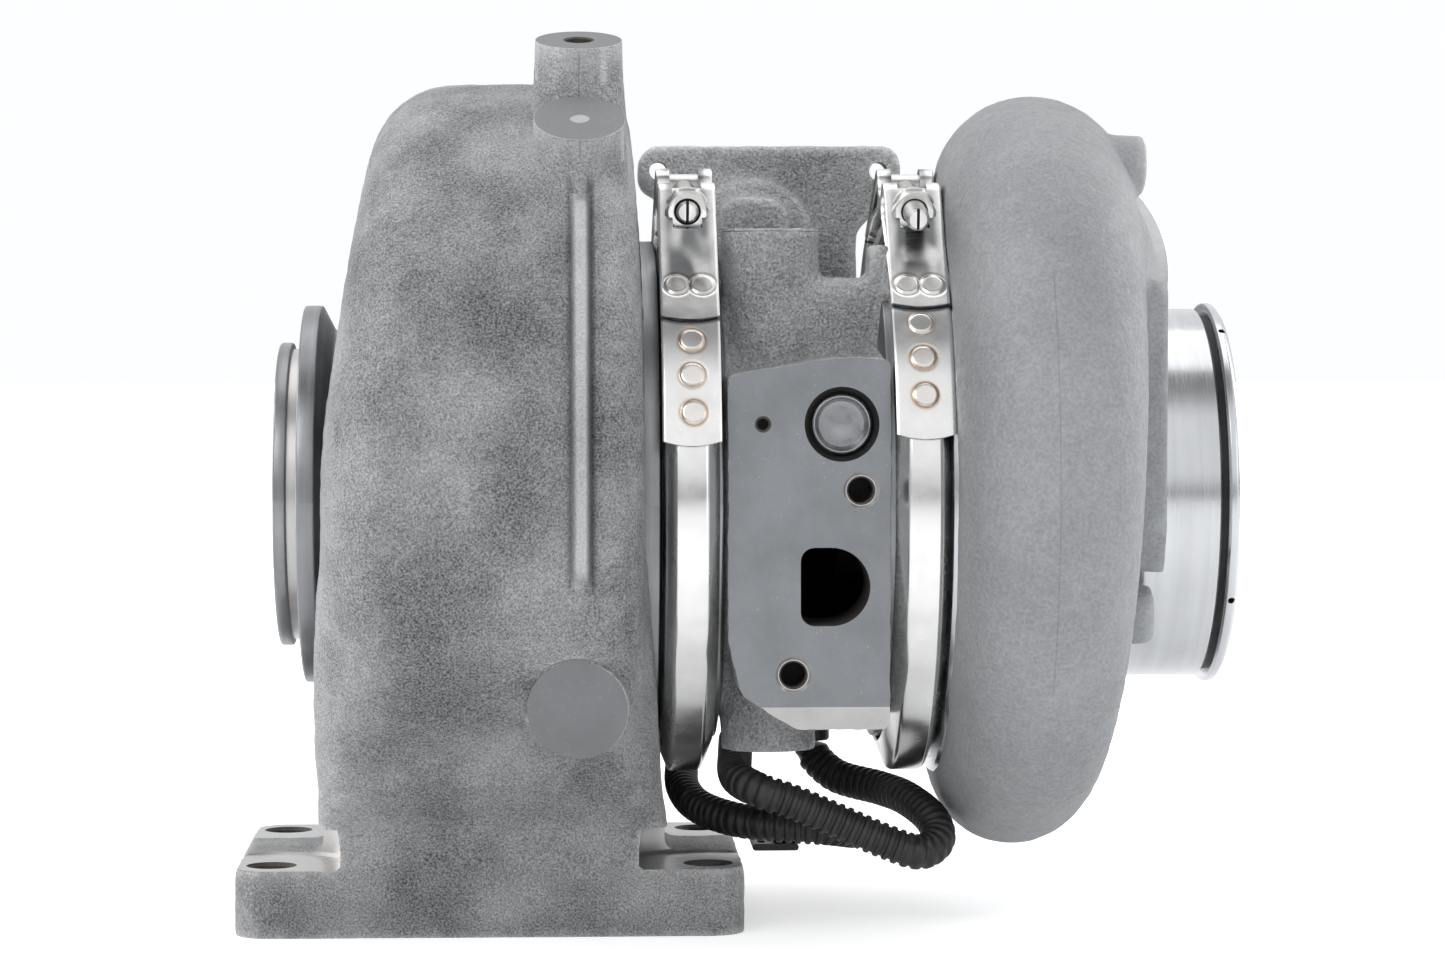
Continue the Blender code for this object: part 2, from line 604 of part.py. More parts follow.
def scroll(inset, steps=22):
    rings = []
    for step in range(steps + 1):
        degrees = 115.0 + 334.9 * step / steps
        radius = scroll_radius(degrees)
        centre_r = 69.0 + radius
        centre_x = SCROLL_LEFT + radius
        loop = []
        for side in range(SCROLL_SIDES):
            turn = 2 * math.pi * side / SCROLL_SIDES
            loop.append(around(centre_x + (radius - inset) * math.cos(turn),
                               centre_r + (radius - inset) * math.sin(turn), degrees))
        rings.append(loop)
    return loft(rings)


def outlet_pipe(inset):
    """The scroll leaves at the top, towards +Y, and opens out to its hose end."""
    rings = []
    for share in (-0.08, 0.25, 0.5, 0.75, 1.0 + 0.04 * inset):
        bend = smooth_step(share)
        centre = Vector((185.7 + (OUTLET_PIPE_X - 185.7) * bend, OUTLET_PIPE_Y * share,
                         103.0 + (OUTLET_PIPE_Z - 103.0) * bend))
        radius = 31.0 + (OUTLET_PIPE_RADIUS - 31.0) * bend - inset
        loop = []
        for side in range(SCROLL_SIDES):
            turn = 2 * math.pi * side / SCROLL_SIDES
            loop.append(centre + Vector((radius * math.cos(turn), 0, radius * math.sin(turn))))
        rings.append(loop)
    return loft(rings)


def build_compressor_housing(material):
    body = turned([
        (142.2, 70), (142.2, FLANGE_RADIUS), (145.6, FLANGE_RADIUS), (149.2, 84), (155, 84),
        (170, 84), (196, 72), (204, INLET_RADIUS), (243.4, INLET_RADIUS), (243.4, 50),
        (180, 30), (150, 30)])
    add(body, scroll(0.0), outlet_pipe(0.0))
    add(body, rod((OUTLET_PIPE_X, OUTLET_PIPE_Y - 8, OUTLET_PIPE_Z),
                  (OUTLET_PIPE_X, OUTLET_PIPE_Y + 0.5, OUTLET_PIPE_Z), 44.5, 24))
    add(body, rod((190, -66, -37.5), (219, -66, -37.5), 10))
    add(body, slab(rounded([(-81, 74, 4), (-56, 74, 4), (-56, -22, 2), (-74, -22, 5), (-81, -6, 6)]),
                   190, 220, "x"))
    add(body, rod((200, -30, 112), (217, -30, 112), 9.5, 14))
    cut(body, turned([
        (140, 0), (140, 80.4), (157.4, 80.4), (158.1, 91.3), (162.8, 90.1), (163.2, 50.5),
        (166, 48), (174, 41.5), (186, 38.2), (204, 38), (216, 41), (228, 50), (238, 58.6),
        (246, 58.6), (246, 0)]))
    cut(body, scroll(SCROLL_WALL, 16), outlet_pipe(SCROLL_WALL))
    return finish(body, "compressor_housing", material)


def build_inlet_ring(aluminium):
    body = turned([
        (238.6, 52.8), (238.6, 58.2), (244.2, 58.2), (244.2, 65.5), (248.6, 65.5), (INLET_END, 63),
        (INLET_END, 59), (245, 54.5)])
    finish(body, "inlet_ring", aluminium)


def build_compressor_wheel(aluminium, steel):
    body = turned([
        (152.8, 5.3), (152.8, 11.4), (155.6, 20), (158, 48), (160.2, 48), (163, 36), (170, 24),
        (182, 16), (198, 13), (201, 11.4), (201, 5.3)])
    count = 7
    full = [(159, 44, COMPRESSOR_WHEEL_RADIUS, -8), (164, 30, 48, -2), (173, 19, 39.6, 11),
            (184, 13.5, 37.4, 26), (197, 11, 37.2, 46)]
    splitter = full[:4]
    for index in range(count):
        add(body, blade(full, count, index, -4, 1.6))
        add(body, blade(splitter, count, index + 0.5, -4, 1.6))
    finish(body, "compressor_wheel", aluminium)
    nut = rod((201.3, 0, 0), (210, 0, 0), 9, 6)
    cut(nut, rod((200, 0, 0), (212, 0, 0), COMPRESSOR_SHAFT_RADIUS + GAP, 16))
    finish(nut, "shaft_nut", steel)


# ---------------------------------------------------------------- V clamps

def along_bolt(x, distance):
    """A point on a clamp's bolt line, measured from its middle towards the nut."""
    turn = math.radians(CLAMP_OPENING)
    y = -BOLT_REACH * math.cos(turn) - distance * math.sin(turn)
    z = BOLT_REACH * math.sin(turn) - distance * math.cos(turn)
    return (x, y, z)


def strap(x, near, far, eye):
    """A welded strap on the band, with an eye round the trunnion at one end."""
    half = STRAP_WIDTH / 2
    middle = CLAMP_OPENING - math.degrees(math.atan(eye / BOLT_REACH))
    body = turned([(x - half, 95.9), (x + half, 95.9), (x + half, 97.4), (x - half, 97.4)],
                  9, near, far)
    web = turned([(x - half + 0.1, 96.2), (x + half - 0.1, 96.2), (x + half - 0.1, 102),
                  (x - half + 0.1, 102)], 2, middle - 2.5, middle + 2.5)
    centre = Vector(along_bolt(x, eye))
    along = Vector((half, 0, 0))
    add(body, rod(centre - along, centre + along, 7.6), web)
    cut(body, rod(centre - along * 1.2, centre + along * 1.2, 5.7))
    cut(body, rod(along_bolt(x, eye - 14), along_bolt(x, eye + 14), 4.9))
    return body


def build_clamp(name, x, bolt_end, stainless, steel):
    band = turned([
        (x - 9.3, 85.9), (x - 4.9, CLAMP_RADIUS), (x + 4.9, CLAMP_RADIUS), (x + 9.3, 85.9),
        (x + 8.0, 85.2), (x + 4.3, 93.5), (x - 4.3, 93.5), (x - 8.0, 85.2)],
        None, CLAMP_OPENING + 5, CLAMP_OPENING + 355)
    finish(band, f"{name}_band", stainless)
    finish(strap(x, 9, 73, 13), f"{name}_front_strap", stainless)
    finish(strap(x, 83, 142, -13), f"{name}_rear_strap", stainless)
    for label, eye in (("front", 13), ("rear", -13)):
        centre = Vector(along_bolt(x, eye))
        along = Vector((8.6, 0, 0))
        trunnion = rod(centre - along, centre + along, 5.3, 16)
        if label == "front":
            cut(trunnion, rod(along_bolt(x, eye - 10), along_bolt(x, eye + 10), 4.35, 14))
            finish(trunnion, f"{name}_trunnion", steel)
        else:
            add(trunnion, rod(along_bolt(x, eye), along_bolt(x, bolt_end), 4.0, 14))
            finish(trunnion, f"{name}_t_bolt", steel)
    nut = rod(along_bolt(x, 21.1), along_bolt(x, 27.6), 7.4, 6)
    cut(nut, rod(along_bolt(x, 18), along_bolt(x, 30), 4.3, 14))
    finish(nut, f"{name}_nut", steel)


# ---------------------------------------------------------------- speed sensor and harness

LONG_RUN = (
    (113, 25, -89.8), (113.2, 24.8, -94), (121, 17, -100.5), (135, 2, -103), (143, -12, -105),
    (150, -28, -110), (151, -38, -116), (144, -45, -119), (132, -46, -115), (116, -46, -108),
    (101, -47, -101.5), (91, -47, -98), (84.5, -39, -95.5), (83, -23, -94), (84, -3, -90.5),
    (85, 14, -87))
SHORT_RUN = (
    (70, 62, -92), (67, 40, -100), (67, 18, -105), (72, 0, -109), (84, -16, -111.5),
    (100, -24, -112.5), (115, -24, -113.5), (124, -12, -116), (121.5, 3, -117), (114.0, 5, -117))


def smooth_run(anchors, share):
    """A point of the smooth curve through the anchors (Catmull-Rom), share 0 to 1 along it."""
    place = share * (len(anchors) - 1)
    index = min(int(place), len(anchors) - 2)
    part = place - index
    before = Vector(anchors[max(index - 1, 0)])
    here = Vector(anchors[index])
    there = Vector(anchors[index + 1])
    after = Vector(anchors[min(index + 2, len(anchors) - 1)])
    straight = (there - before) * part
    square = (before * 2 - here * 5 + there * 4 - after) * part ** 2
    cube = (here * 3 - before - there * 3 + after) * part ** 3
    return here + (straight + square + cube) / 2


def conduit(anchors, steps):
    rings = []
    for step in range(steps + 1):
        share = step / steps
        centre = smooth_run(anchors, share)
        ahead = smooth_run(anchors, min(share + 0.01, 1.0)) - smooth_run(anchors, max(share - 0.01, 0.0))
        across = ahead.cross(Vector((0.2, 0.3, 1.0))).normalized()
        over = across.cross(ahead).normalized()
        loop = []
        for side in range(8):
            turn = 2 * math.pi * side / 8
            loop.append(centre + (across * math.cos(turn) + over * math.sin(turn)) * CONDUIT_RADIUS)
        rings.append(loop)
    return loft(rings)


def build_harness(plastic):
    x, y = 113, 25
    sensor = rod((x, y, -83), (x, y, -59), 6.0)
    add(sensor, rod((x, y, -84.4), (x, y, -78.3), 9.5, 6))
    add(sensor, rod((x, y, -88.4), (x, y, -84), 5.2))
    finish(sensor, "speed_sensor", plastic)
    finish(conduit(LONG_RUN, 30), "sensor_conduit", plastic)
    finish(conduit(SHORT_RUN, 18), "connector_conduit", plastic)
    connector = box((97.5, -2, -121.5), (112.6, 12, -112.5), 2.5, "x")
    add(connector, box((90, -6, -123.6), (106, 14, -121.2), 1.0, "y"))
    finish(connector, "harness_connector", plastic)


def build_all():
    clear_scene()
    cast_iron = make_material("cast iron", (0.30, 0.30, 0.31), 0.55, 0.7)
    bearing_iron = make_material("bearing housing iron", (0.36, 0.37, 0.38), 0.5, 0.7)
    cast_aluminium = make_material("cast aluminium", (0.62, 0.63, 0.64), 0.45, 0.7)
    machined = make_material("machined aluminium", (0.8, 0.81, 0.83), 0.2, 1.0)
    stainless = make_material("stainless steel", (0.72, 0.71, 0.69), 0.2, 1.0)
    steel = make_material("steel", (0.55, 0.55, 0.57), 0.3, 1.0)
    alloy = make_material("nickel alloy", (0.33, 0.32, 0.31), 0.4, 1.0)
    bronze = make_material("bronze", (0.66, 0.47, 0.25), 0.35, 1.0)
    rubber = make_material("rubber", (0.02, 0.02, 0.02), 0.7, 0.0)
    gasket = make_material("gasket steel", (0.4, 0.4, 0.4), 0.5, 0.9)
    plastic = make_material("black plastic", (0.03, 0.03, 0.03), 0.5, 0.0)

    build_turbine_housing(cast_iron)
    build_nozzle_ring(alloy)
    build_shroud_plate(alloy)
    build_push_rods(alloy)
    build_turbine_wheel(alloy)
    build_turbine_fittings(steel, gasket)
    build_bearing_housing(bearing_iron)
    build_rotor_bearings(bronze, steel)
    build_thrust_parts(bronze, steel, alloy)
    build_back_plate(cast_aluminium, rubber, steel)
    build_cross_shaft(steel, bronze, rubber)
    build_core_plug(steel)
    build_compressor_housing(cast_aluminium)
    build_inlet_ring(machined)
    build_compressor_wheel(machined, steel)
    build_clamp("turbine_clamp", CLAMP_TURBINE_X, 29, stainless, steel)
    build_clamp("compressor_clamp", CLAMP_COMPRESSOR_X, 42, stainless, steel)
    build_harness(plastic)


build_all()
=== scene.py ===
"""How the turbocharger looks: its visible pieces, materials, light and camera, round the CAD frame.

Lengths in this file are millimetres: x along the rotor axis from the centre of the foot, with the
turbine at -x and the compressor at +x, y across it, and z above it. show() turns a finished piece
into metres, measured as in the CAD.
"""

import json
import math
from math import atan2, cos, hypot, pi, radians, sin

import bmesh
import bpy
from mathutils import Matrix, Vector, noise

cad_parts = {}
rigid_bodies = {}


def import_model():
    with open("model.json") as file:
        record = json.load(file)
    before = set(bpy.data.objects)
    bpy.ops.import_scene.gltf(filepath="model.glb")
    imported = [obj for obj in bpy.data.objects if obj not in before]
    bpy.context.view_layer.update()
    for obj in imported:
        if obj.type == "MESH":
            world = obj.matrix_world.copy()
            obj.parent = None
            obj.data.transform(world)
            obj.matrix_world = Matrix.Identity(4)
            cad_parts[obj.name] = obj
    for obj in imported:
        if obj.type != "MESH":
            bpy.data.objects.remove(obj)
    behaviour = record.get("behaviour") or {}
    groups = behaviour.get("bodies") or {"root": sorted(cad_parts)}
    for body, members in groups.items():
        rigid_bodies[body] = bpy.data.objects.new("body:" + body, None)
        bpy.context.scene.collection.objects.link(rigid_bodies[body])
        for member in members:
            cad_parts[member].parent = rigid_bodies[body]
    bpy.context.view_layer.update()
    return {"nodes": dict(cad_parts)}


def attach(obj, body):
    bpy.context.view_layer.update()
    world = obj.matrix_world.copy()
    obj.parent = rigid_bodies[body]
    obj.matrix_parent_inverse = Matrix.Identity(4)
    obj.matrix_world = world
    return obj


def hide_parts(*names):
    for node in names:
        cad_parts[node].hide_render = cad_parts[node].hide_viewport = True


MM = 0.001
AXIS_HEIGHT = 144.4             # rotor axis above the foot's bottom face
FOOT_TOP = 23 - AXIS_HEIGHT
BOSS_X = 30.0                   # middle plane of the bosses and the rib on the volute
TOP_BOSSES = ((75, 126, 159, 14.5), (59.4, 114, 146.5, 15))     # angle, base, top, radius
CLAMP_TURBINE_X = 66.0
CLAMP_COMPRESSOR_X = 141.8
CLAMP_OPENING = 78.0            # angle of a clamp's opening, in degrees up from -Y
BOLT_REACH = 104.0              # a clamp bolt's distance from the rotor axis
TRUNNION_PLACE = 13.0           # a trunnion's distance from the middle of the opening
STRAP_HALF = 9.6                # half the width of a strap
FLANGE_RADIUS = 92.4
DRUM_RADIUS = 72.0              # cast middle of the bearing housing
PAD_Y = -85.0                   # drain pad, on the front
PLATE_Y = 74.0                  # actuator face, at the back
CROSS_X = 115.0                 # axis of the cross shaft
CROSS_Z = 26.3
ROD_Y = 56.5                    # push rods of the nozzle ring, each side of the axis
SENSOR = (113, 25)              # x and y of the speed sensor
SCROLL_LEFT = 151.7
SCROLL_WALL = 4.5
INLET_RADIUS = 63.5
OUTLET_PIPE = Vector((207, 116, 76))        # centre of the compressor outlet's end face
OUTLET_PIPE_RADIUS = 40.0
FINE = 128                      # sides of large turned pieces
SMALL = 48                      # sides of small ones


# ---- shapes

def new_item(name, data):
    item = bpy.data.objects.new(name, data)
    bpy.context.scene.collection.objects.link(item)
    return item


def build_mesh(name, points, faces, material=None):
    mesh = bpy.data.meshes.new(name)
    mesh.from_pydata([Vector(point) for point in points], [], faces)
    item = new_item(name, mesh)
    work = bmesh.new()
    work.from_mesh(mesh)
    bmesh.ops.remove_doubles(work, verts=work.verts, dist=0.002)
    bmesh.ops.recalc_face_normals(work, faces=work.faces)
    work.to_mesh(mesh)
    work.free()
    if material:
        mesh.materials.append(material)
    return item


def apply_modifiers(item):
    graph = bpy.context.evaluated_depsgraph_get()
    mesh = bpy.data.meshes.new_from_object(item.evaluated_get(graph))
    item.modifiers.clear()
    item.data = mesh


def combine(target, tool, operation):
    modifier = target.modifiers.new("shape", "BOOLEAN")
    modifier.solver = "MANIFOLD"
    modifier.operation = operation
    modifier.material_mode = "TRANSFER"
    modifier.object = tool
    apply_modifiers(target)
    bpy.data.objects.remove(tool)


def add(target, *tools):
    for tool in tools:
        combine(target, tool, "UNION")


def cut(target, *tools):
    for tool in tools:
        combine(target, tool, "DIFFERENCE")


def circle(sides):
    """Cosine and sine of each corner of an even polygon."""
    turns = [2 * pi * side / sides for side in range(sides)]
    return [(cos(turn), sin(turn)) for turn in turns]


def around(x, radius, degrees):
    """A point at an angle about the rotor axis: 0 is -Y, 90 is up, 180 is +Y."""
    turn = radians(degrees)
    return (x, -radius * cos(turn), radius * sin(turn))


def rounded(corners, steps=5):
    """A closed outline from (a, b, corner radius) points, its corners turned into arcs."""
    outline = []
    count = len(corners)
    for index, (a, b, radius) in enumerate(corners):
        here = Vector((a, b))
        if radius == 0:
            outline.append((a, b))
            continue
        before = (Vector(corners[index - 1][:2]) - here).normalized()
        after = (Vector(corners[(index + 1) % count][:2]) - here).normalized()
        half = before.angle(after) / 2
        centre = here + (before + after).normalized() * (radius / sin(half))
        start = here + before * (radius / math.tan(half)) - centre
        end = here + after * (radius / math.tan(half)) - centre
        sweep = atan2(start.cross(end), start.dot(end))
        for step in range(steps + 1):
            turn = Matrix.Rotation(sweep * step / steps, 2)
            outline.append(tuple(centre + turn @ start))
    return outline


def loft(rings, material=None, closed=False):
    """A skin through rings of equal length; an open row of rings gets flat ends."""
    count = len(rings[0])
    points = [point for ring in rings for point in ring]
    faces = []
    last = len(rings) if closed else len(rings) - 1
    for row in range(last):
        low = row * count
        high = (row + 1) % len(rings) * count
        for column in range(count):
            beside = (column + 1) % count
            faces.append((low + column, low + beside, high + beside, high + column))
    if not closed:
        faces.append(tuple(range(count)))
        faces.append(tuple(range((len(rings) - 1) * count, len(rings) * count)))
    return build_mesh("loft", points, faces, material)


def turned(profile, material=None, steps=FINE, start=0.0, end=360.0):
    """An (x, radius[, corner radius]) outline turned about the rotor axis."""
    if len(profile[0]) == 3:
        profile = rounded(profile, 3)
    whole = end - start >= 360.0
    rings = []
    for step in range(steps if whole else steps + 1):
        degrees = start + (end - start) * step / steps
        rings.append([around(x, radius, degrees) for x, radius in profile])
    return loft(rings, material, whole)


def spun(profile, origin, towards, material=None, steps=SMALL):
    """An open (distance, radius) row of rings about a line from origin towards another point."""
    origin = Vector(origin)
    line = (Vector(towards) - origin).normalized()
    turn = line.to_track_quat("Z", "Y")
    return loft([[origin + line * distance + turn @ Vector((radius * a, radius * b, 0))
                  for a, b in circle(steps)] for distance, radius in profile], material)


def rod(start, end, radius, material=None, end_radius=None, steps=SMALL):
    length = (Vector(end) - Vector(start)).length
    last = radius if end_radius is None else end_radius
    return spun([(0, radius), (length, last)], start, end, material, steps)


def slab(outline, low, high, axis, material=None):
    """A plate: an outline in the two other axes, between two levels along the given axis."""
    def place(a, b, level):
        return {"x": (level, a, b), "y": (a, level, b), "z": (a, b, level)}[axis]
    rings = [[place(a, b, level) for a, b in outline] for level in (low, high)]
    return loft(rings, material)


def rectangle(left, low, right, high, radius):
    return rounded([(left, low, radius), (right, low, radius), (right, high, radius),
                    (left, high, radius)])


def box(low, high, radius=0.0, axis="z", material=None):
    first, second = {"x": (1, 2), "y": (0, 2), "z": (0, 1)}[axis]
    along = 3 - first - second
    outline = rectangle(low[first], low[second], high[first], high[second], radius)
    return slab(outline, low[along], high[along], axis, material)


def smooth_step(value):
    value = min(1.0, max(0.0, value))
    return value * value * (3 - 2 * value)


def curve_through(anchors, share):
    """A point of the smooth curve through the anchors (Catmull-Rom), share 0 to 1 along it."""
    place = min(max(share, 0.0), 1.0) * (len(anchors) - 1)
    index = min(int(place), len(anchors) - 2)
    part = place - index
    before = Vector(anchors[max(index - 1, 0)])
    here = Vector(anchors[index])
    there = Vector(anchors[index + 1])
    after = Vector(anchors[min(index + 2, len(anchors) - 1)])
    straight = (there - before) * part
    square = (before * 2 - here * 5 + there * 4 - after) * part ** 2
    cube = (here * 3 - before - there * 3 + after) * part ** 3
    return here + (straight + square + cube) / 2


def blend_around(degrees, front, top, back, bottom):
    """A value that changes smoothly round the rotor axis, from its four quarter values."""
    quarters = (front, top, back, bottom, front)
    place = degrees % 360.0 / 90.0
    low = int(place)
    return quarters[low] + (quarters[low + 1] - quarters[low]) * smooth_step(place - low)


def cast_skin(item, voxel, passes, roughness, seed, material):
    """Make joined solids into one casting: soft fillets and an uneven sand-cast skin."""
    remesh = item.modifiers.new("skin", "REMESH")
    remesh.mode = "VOXEL"
    remesh.voxel_size = voxel
    apply_modifiers(item)
    smooth = item.modifiers.new("fillets", "SMOOTH")
    smooth.factor = 0.5
    smooth.iterations = passes
    apply_modifiers(item)
    normals = [vertex.normal.copy() for vertex in item.data.vertices]
    for vertex, normal in zip(item.data.vertices, normals):
        wide = noise.noise(vertex.co * 0.045 + Vector((seed, 0, 0)))
        fine = noise.noise(vertex.co * 0.22 + Vector((0, seed, 0)))
        vertex.co += normal * (wide * 0.5 + fine) * roughness
    item.data.materials.clear()
    item.data.materials.append(material)


def thread_profile(start, end, crest, root, pitch=1.25):
    """Rings of a screw thread between two distances."""
    rows = []
    count = int((end - start) / pitch)
    for turn in range(count):
        at = start + turn * pitch
        rows += [(at, root), (at + pitch * 0.42, crest), (at + pitch * 0.58, crest)]
    rows.append((start + count * pitch, root))
    return rows


def show(item, name, node, body="housings", sharp=35.0):
    """Turn a finished piece into metres, and hang it on its CAD body in place of its node."""
    item.name = name
    item.data.name = name
    item.data.transform(Matrix.Translation((0, 0, AXIS_HEIGHT * MM)) @ Matrix.Scale(MM, 4))
    item.data.shade_smooth()
    item.data.set_sharp_from_angle(angle=radians(sharp))
    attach(item, body)
    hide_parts(node)


# ---- materials

def new_material(name):
    material = bpy.data.materials.new(name)
    material.use_nodes = True
    tree = material.node_tree
    return material, tree, tree.nodes["Principled BSDF"]


def feed(tree, socket, value):
    """Give an input a plain value, or link another node's output to it."""
    if isinstance(value, bpy.types.NodeSocket):
        tree.links.new(value, socket)
    elif isinstance(value, tuple) and len(value) == 3 and socket.type == "RGBA":
        socket.default_value = (*value, 1)
    else:
        socket.default_value = value


def node(tree, kind, *values, output=0, **settings):
    """One output of a new shader node; the values go to its inputs in order."""
    made = tree.nodes.new("ShaderNode" + kind)
    for name, setting in settings.items():
        setattr(made, name, setting)
    for socket, value in zip(made.inputs, values):
        feed(tree, socket, value)
    return made.outputs[output]


def object_place(tree):
    return node(tree, "TexCoord", output="Object")


def split_place(tree, place):
    return [node(tree, "SeparateXYZ", place, output=axis) for axis in range(3)]


def calc(tree, operation, first, second=0.0):
    return node(tree, "Math", first, second, operation=operation)


def times(tree, first, second):
    return calc(tree, "MULTIPLY", first, second)


def plus(tree, first, second):
    return calc(tree, "ADD", first, second)


def remap(tree, value, low, high, new_low=0.0, new_high=1.0):
    return node(tree, "MapRange", value, low, high, new_low, new_high)


def grain(tree, place, scale, detail, roughness):
    return node(tree, "TexNoise", place, 0.0, scale, detail, roughness)


def two_grains(tree, first, second, reach=0.15, share=0.5):
    """Two noises as one share from 0 to 1; the first has the given part and reach."""
    return plus(tree, remap(tree, first, 0.5 - reach, 0.5 + reach, 0, share),
                remap(tree, second, 0.35, 0.65, 0, 1 - share))


def mix_colour(tree, share, first, second):
    step = tree.nodes.new("ShaderNodeMix")
    step.data_type = "RGBA"
    for index, part in ((0, share), (6, first), (7, second)):
        feed(tree, step.inputs[index], part)
    return step.outputs[2]


def finish(tree, shader, colour, sheen, metallic, height, depth):
    """Give a surface its colour, its roughness as (noise, low, high), and its relief in mm."""
    feed(tree, shader.inputs["Base Color"], colour)
    marks, low, high = sheen
    feed(tree, shader.inputs["Roughness"], remap(tree, marks, 0.3, 0.7, low, high))
    feed(tree, shader.inputs["Metallic"], metallic)
    relief = tree.nodes.new("ShaderNodeBump")
    relief.inputs["Distance"].default_value = depth * MM
    feed(tree, relief.inputs["Height"], height)
    feed(tree, shader.inputs["Normal"], relief.outputs[0])


def edge_light(tree, low=0.505, high=0.56):
    """How much a spot stands proud: for edges worn bright on castings, and for the painted highlight on
    plated edges.
    """
    return remap(tree, node(tree, "NewGeometry", output="Pointiness"), low, high)


def ring_place(tree):
    """Coordinates that follow a turning tool: x, distance from the rotor axis, a little angle."""
    x, y, z = split_place(tree, object_place(tree))
    z = calc(tree, "SUBTRACT", z, AXIS_HEIGHT * MM)
    radius = calc(tree, "SQRT", plus(tree, times(tree, y, y), times(tree, z, z)))
    angle = times(tree, calc(tree, "ARCTAN2", z, y), 0.0015)
    return node(tree, "CombineXYZ", x, radius, angle)


def seam_and_shade_line(tree, x_middle, z_low, z_high, half):
    """1 on a line across the rotor axis, on the front, between two heights; used for casting seam lines
    and for painted shade beside the rib.
    """
    x, y, z = split_place(tree, object_place(tree))
    away = calc(tree, "ABSOLUTE", calc(tree, "SUBTRACT", x, x_middle * MM))
    line = remap(tree, away, half * MM, half * 0.3 * MM)
    above = remap(tree, z, (z_low + AXIS_HEIGHT) * MM, (z_low + AXIS_HEIGHT + 4) * MM)
    below = remap(tree, z, (z_high + AXIS_HEIGHT) * MM, (z_high + AXIS_HEIGHT - 4) * MM)
    front = calc(tree, "LESS_THAN", y, -0.03)
    return times(tree, times(tree, line, front), times(tree, above, below))


def cast_metal(name, dark, light, scale, depth, roughness, metallic, seams_and_shade_lines=()):
    """Sand-cast metal: fine dark pits between lighter grains, cloudy patches, bright edges, casting
    seam lines, and painted shade lines beside the rib.
    """
    material, tree, shader = new_material(name)
    place = object_place(tree)
    fine = grain(tree, place, scale, 5, 0.65)
    coarse = grain(tree, place, scale * 0.36, 3, 0.6)
    cloud = grain(tree, place, 26, 3, 0.55)
    colour = mix_colour(tree, two_grains(tree, fine, cloud, 0.14, 0.62), dark, light)
    worn = tuple(min(1.0, part * 1.75) for part in light)
    colour = mix_colour(tree, times(tree, edge_light(tree), 0.5), colour, worn)
    # Each line darkens a strip: casting seam lines, and painted shade down both sides of the turbine
    # rib.
    for *line, strength in seams_and_shade_lines:
        shadow = times(tree, seam_and_shade_line(tree, *line), strength)
        colour = mix_colour(tree, shadow, colour, (0.03, 0.03, 0.035))
    finish(tree, shader, colour, (coarse, roughness - 0.1, roughness + 0.12), metallic,
           plus(tree, times(tree, fine, 0.6), coarse), depth)
    return material


def turned_metal(name, colour, roughness, depth, streak):
    """Metal finished in a lathe: fine rings from the tool, with soft stains across them."""
    material, tree, shader = new_material(name)
    rings = grain(tree, ring_place(tree), 2600, 2, 0.5)
    bands = grain(tree, ring_place(tree), 320, 2, 0.5)
    stain = grain(tree, object_place(tree), 38, 4, 0.6)
    dark = tuple(part * (1 - streak) for part in colour)
    tone = mix_colour(tree, two_grains(tree, bands, stain), dark, colour)
    finish(tree, shader, tone, (rings, roughness - 0.05, roughness + 0.08), 1.0, rings, depth)
    return material


def milled_metal(name, colour, roughness, metallic):
    """A flat machined face: even and smooth, with faint marks and smudges."""
    material, tree, shader = new_material(name)
    place = object_place(tree)
    smudge = grain(tree, place, 45, 5, 0.62)
    speck = grain(tree, place, 900, 3, 0.7)
    stretched = node(tree, "Mapping", place, (0, 0, 0), (0, 0, 0), (1, 1, 0.04))
    strokes = grain(tree, stretched, 2200, 2, 0.5)
    dull = tuple(part * 0.84 for part in colour)
    tone = mix_colour(tree, remap(tree, smudge, 0.36, 0.62), dull, colour)
    tone = mix_colour(tree, remap(tree, speck, 0.64, 0.76, 0, 0.35), tone, (0.75, 0.75, 0.75))
    finish(tree, shader, tone, (smudge, roughness - 0.06, roughness + 0.1), metallic,
           plus(tree, strokes, times(tree, speck, 0.6)), 0.02)
    return material


def clamp_steel():
    """Polished stainless strip, with the brown weld tint and the painted shade that
    mark_heat_and_shade() puts on it.
    """
    material, tree, shader = new_material("polished stainless strip")
    smudge = grain(tree, object_place(tree), 60, 4, 0.6)
    scratch = grain(tree, ring_place(tree), 1900, 2, 0.5)
    tone = mix_colour(tree, remap(tree, smudge, 0.35, 0.65), (0.80, 0.80, 0.79), (0.92, 0.92, 0.91))
    # painted_strap_shade is painted shade and a painted shadow, in dark grey; weld_brown is the real
    # heat tint round the welds.
    for label, colour in (("painted_strap_shade", (0.12, 0.125, 0.135)), ("weld_brown", (0.36, 0.20, 0.08))):
        mark = node(tree, "Attribute", attribute_name=label, output="Fac")
        tone = mix_colour(tree, mark, tone, colour)
    finish(tree, shader, tone, (smudge, 0.16, 0.3), 1.0, scratch, 0.006)
    return material


def plain_grain(name, dark, light, roughness, metallic, scale, depth, edges=0.0):
    """A quieter surface, for plastic, rubber, plated fasteners and the pieces inside."""
    material, tree, shader = new_material(name)
    place = object_place(tree)
    fine = grain(tree, place, scale, 4, 0.6)
    cloud = grain(tree, place, scale * 0.08, 3, 0.5)
    colour = mix_colour(tree, two_grains(tree, fine, cloud), dark, light)
    # A painted highlight: sharp edges turned near white.
    if edges:
        glint = times(tree, edge_light(tree, 0.51, 0.6), edges)
        colour = mix_colour(tree, glint, colour, (0.95, 0.95, 0.94))
    finish(tree, shader, colour, (fine, roughness - 0.08, roughness + 0.1), metallic, fine, depth)
    return material


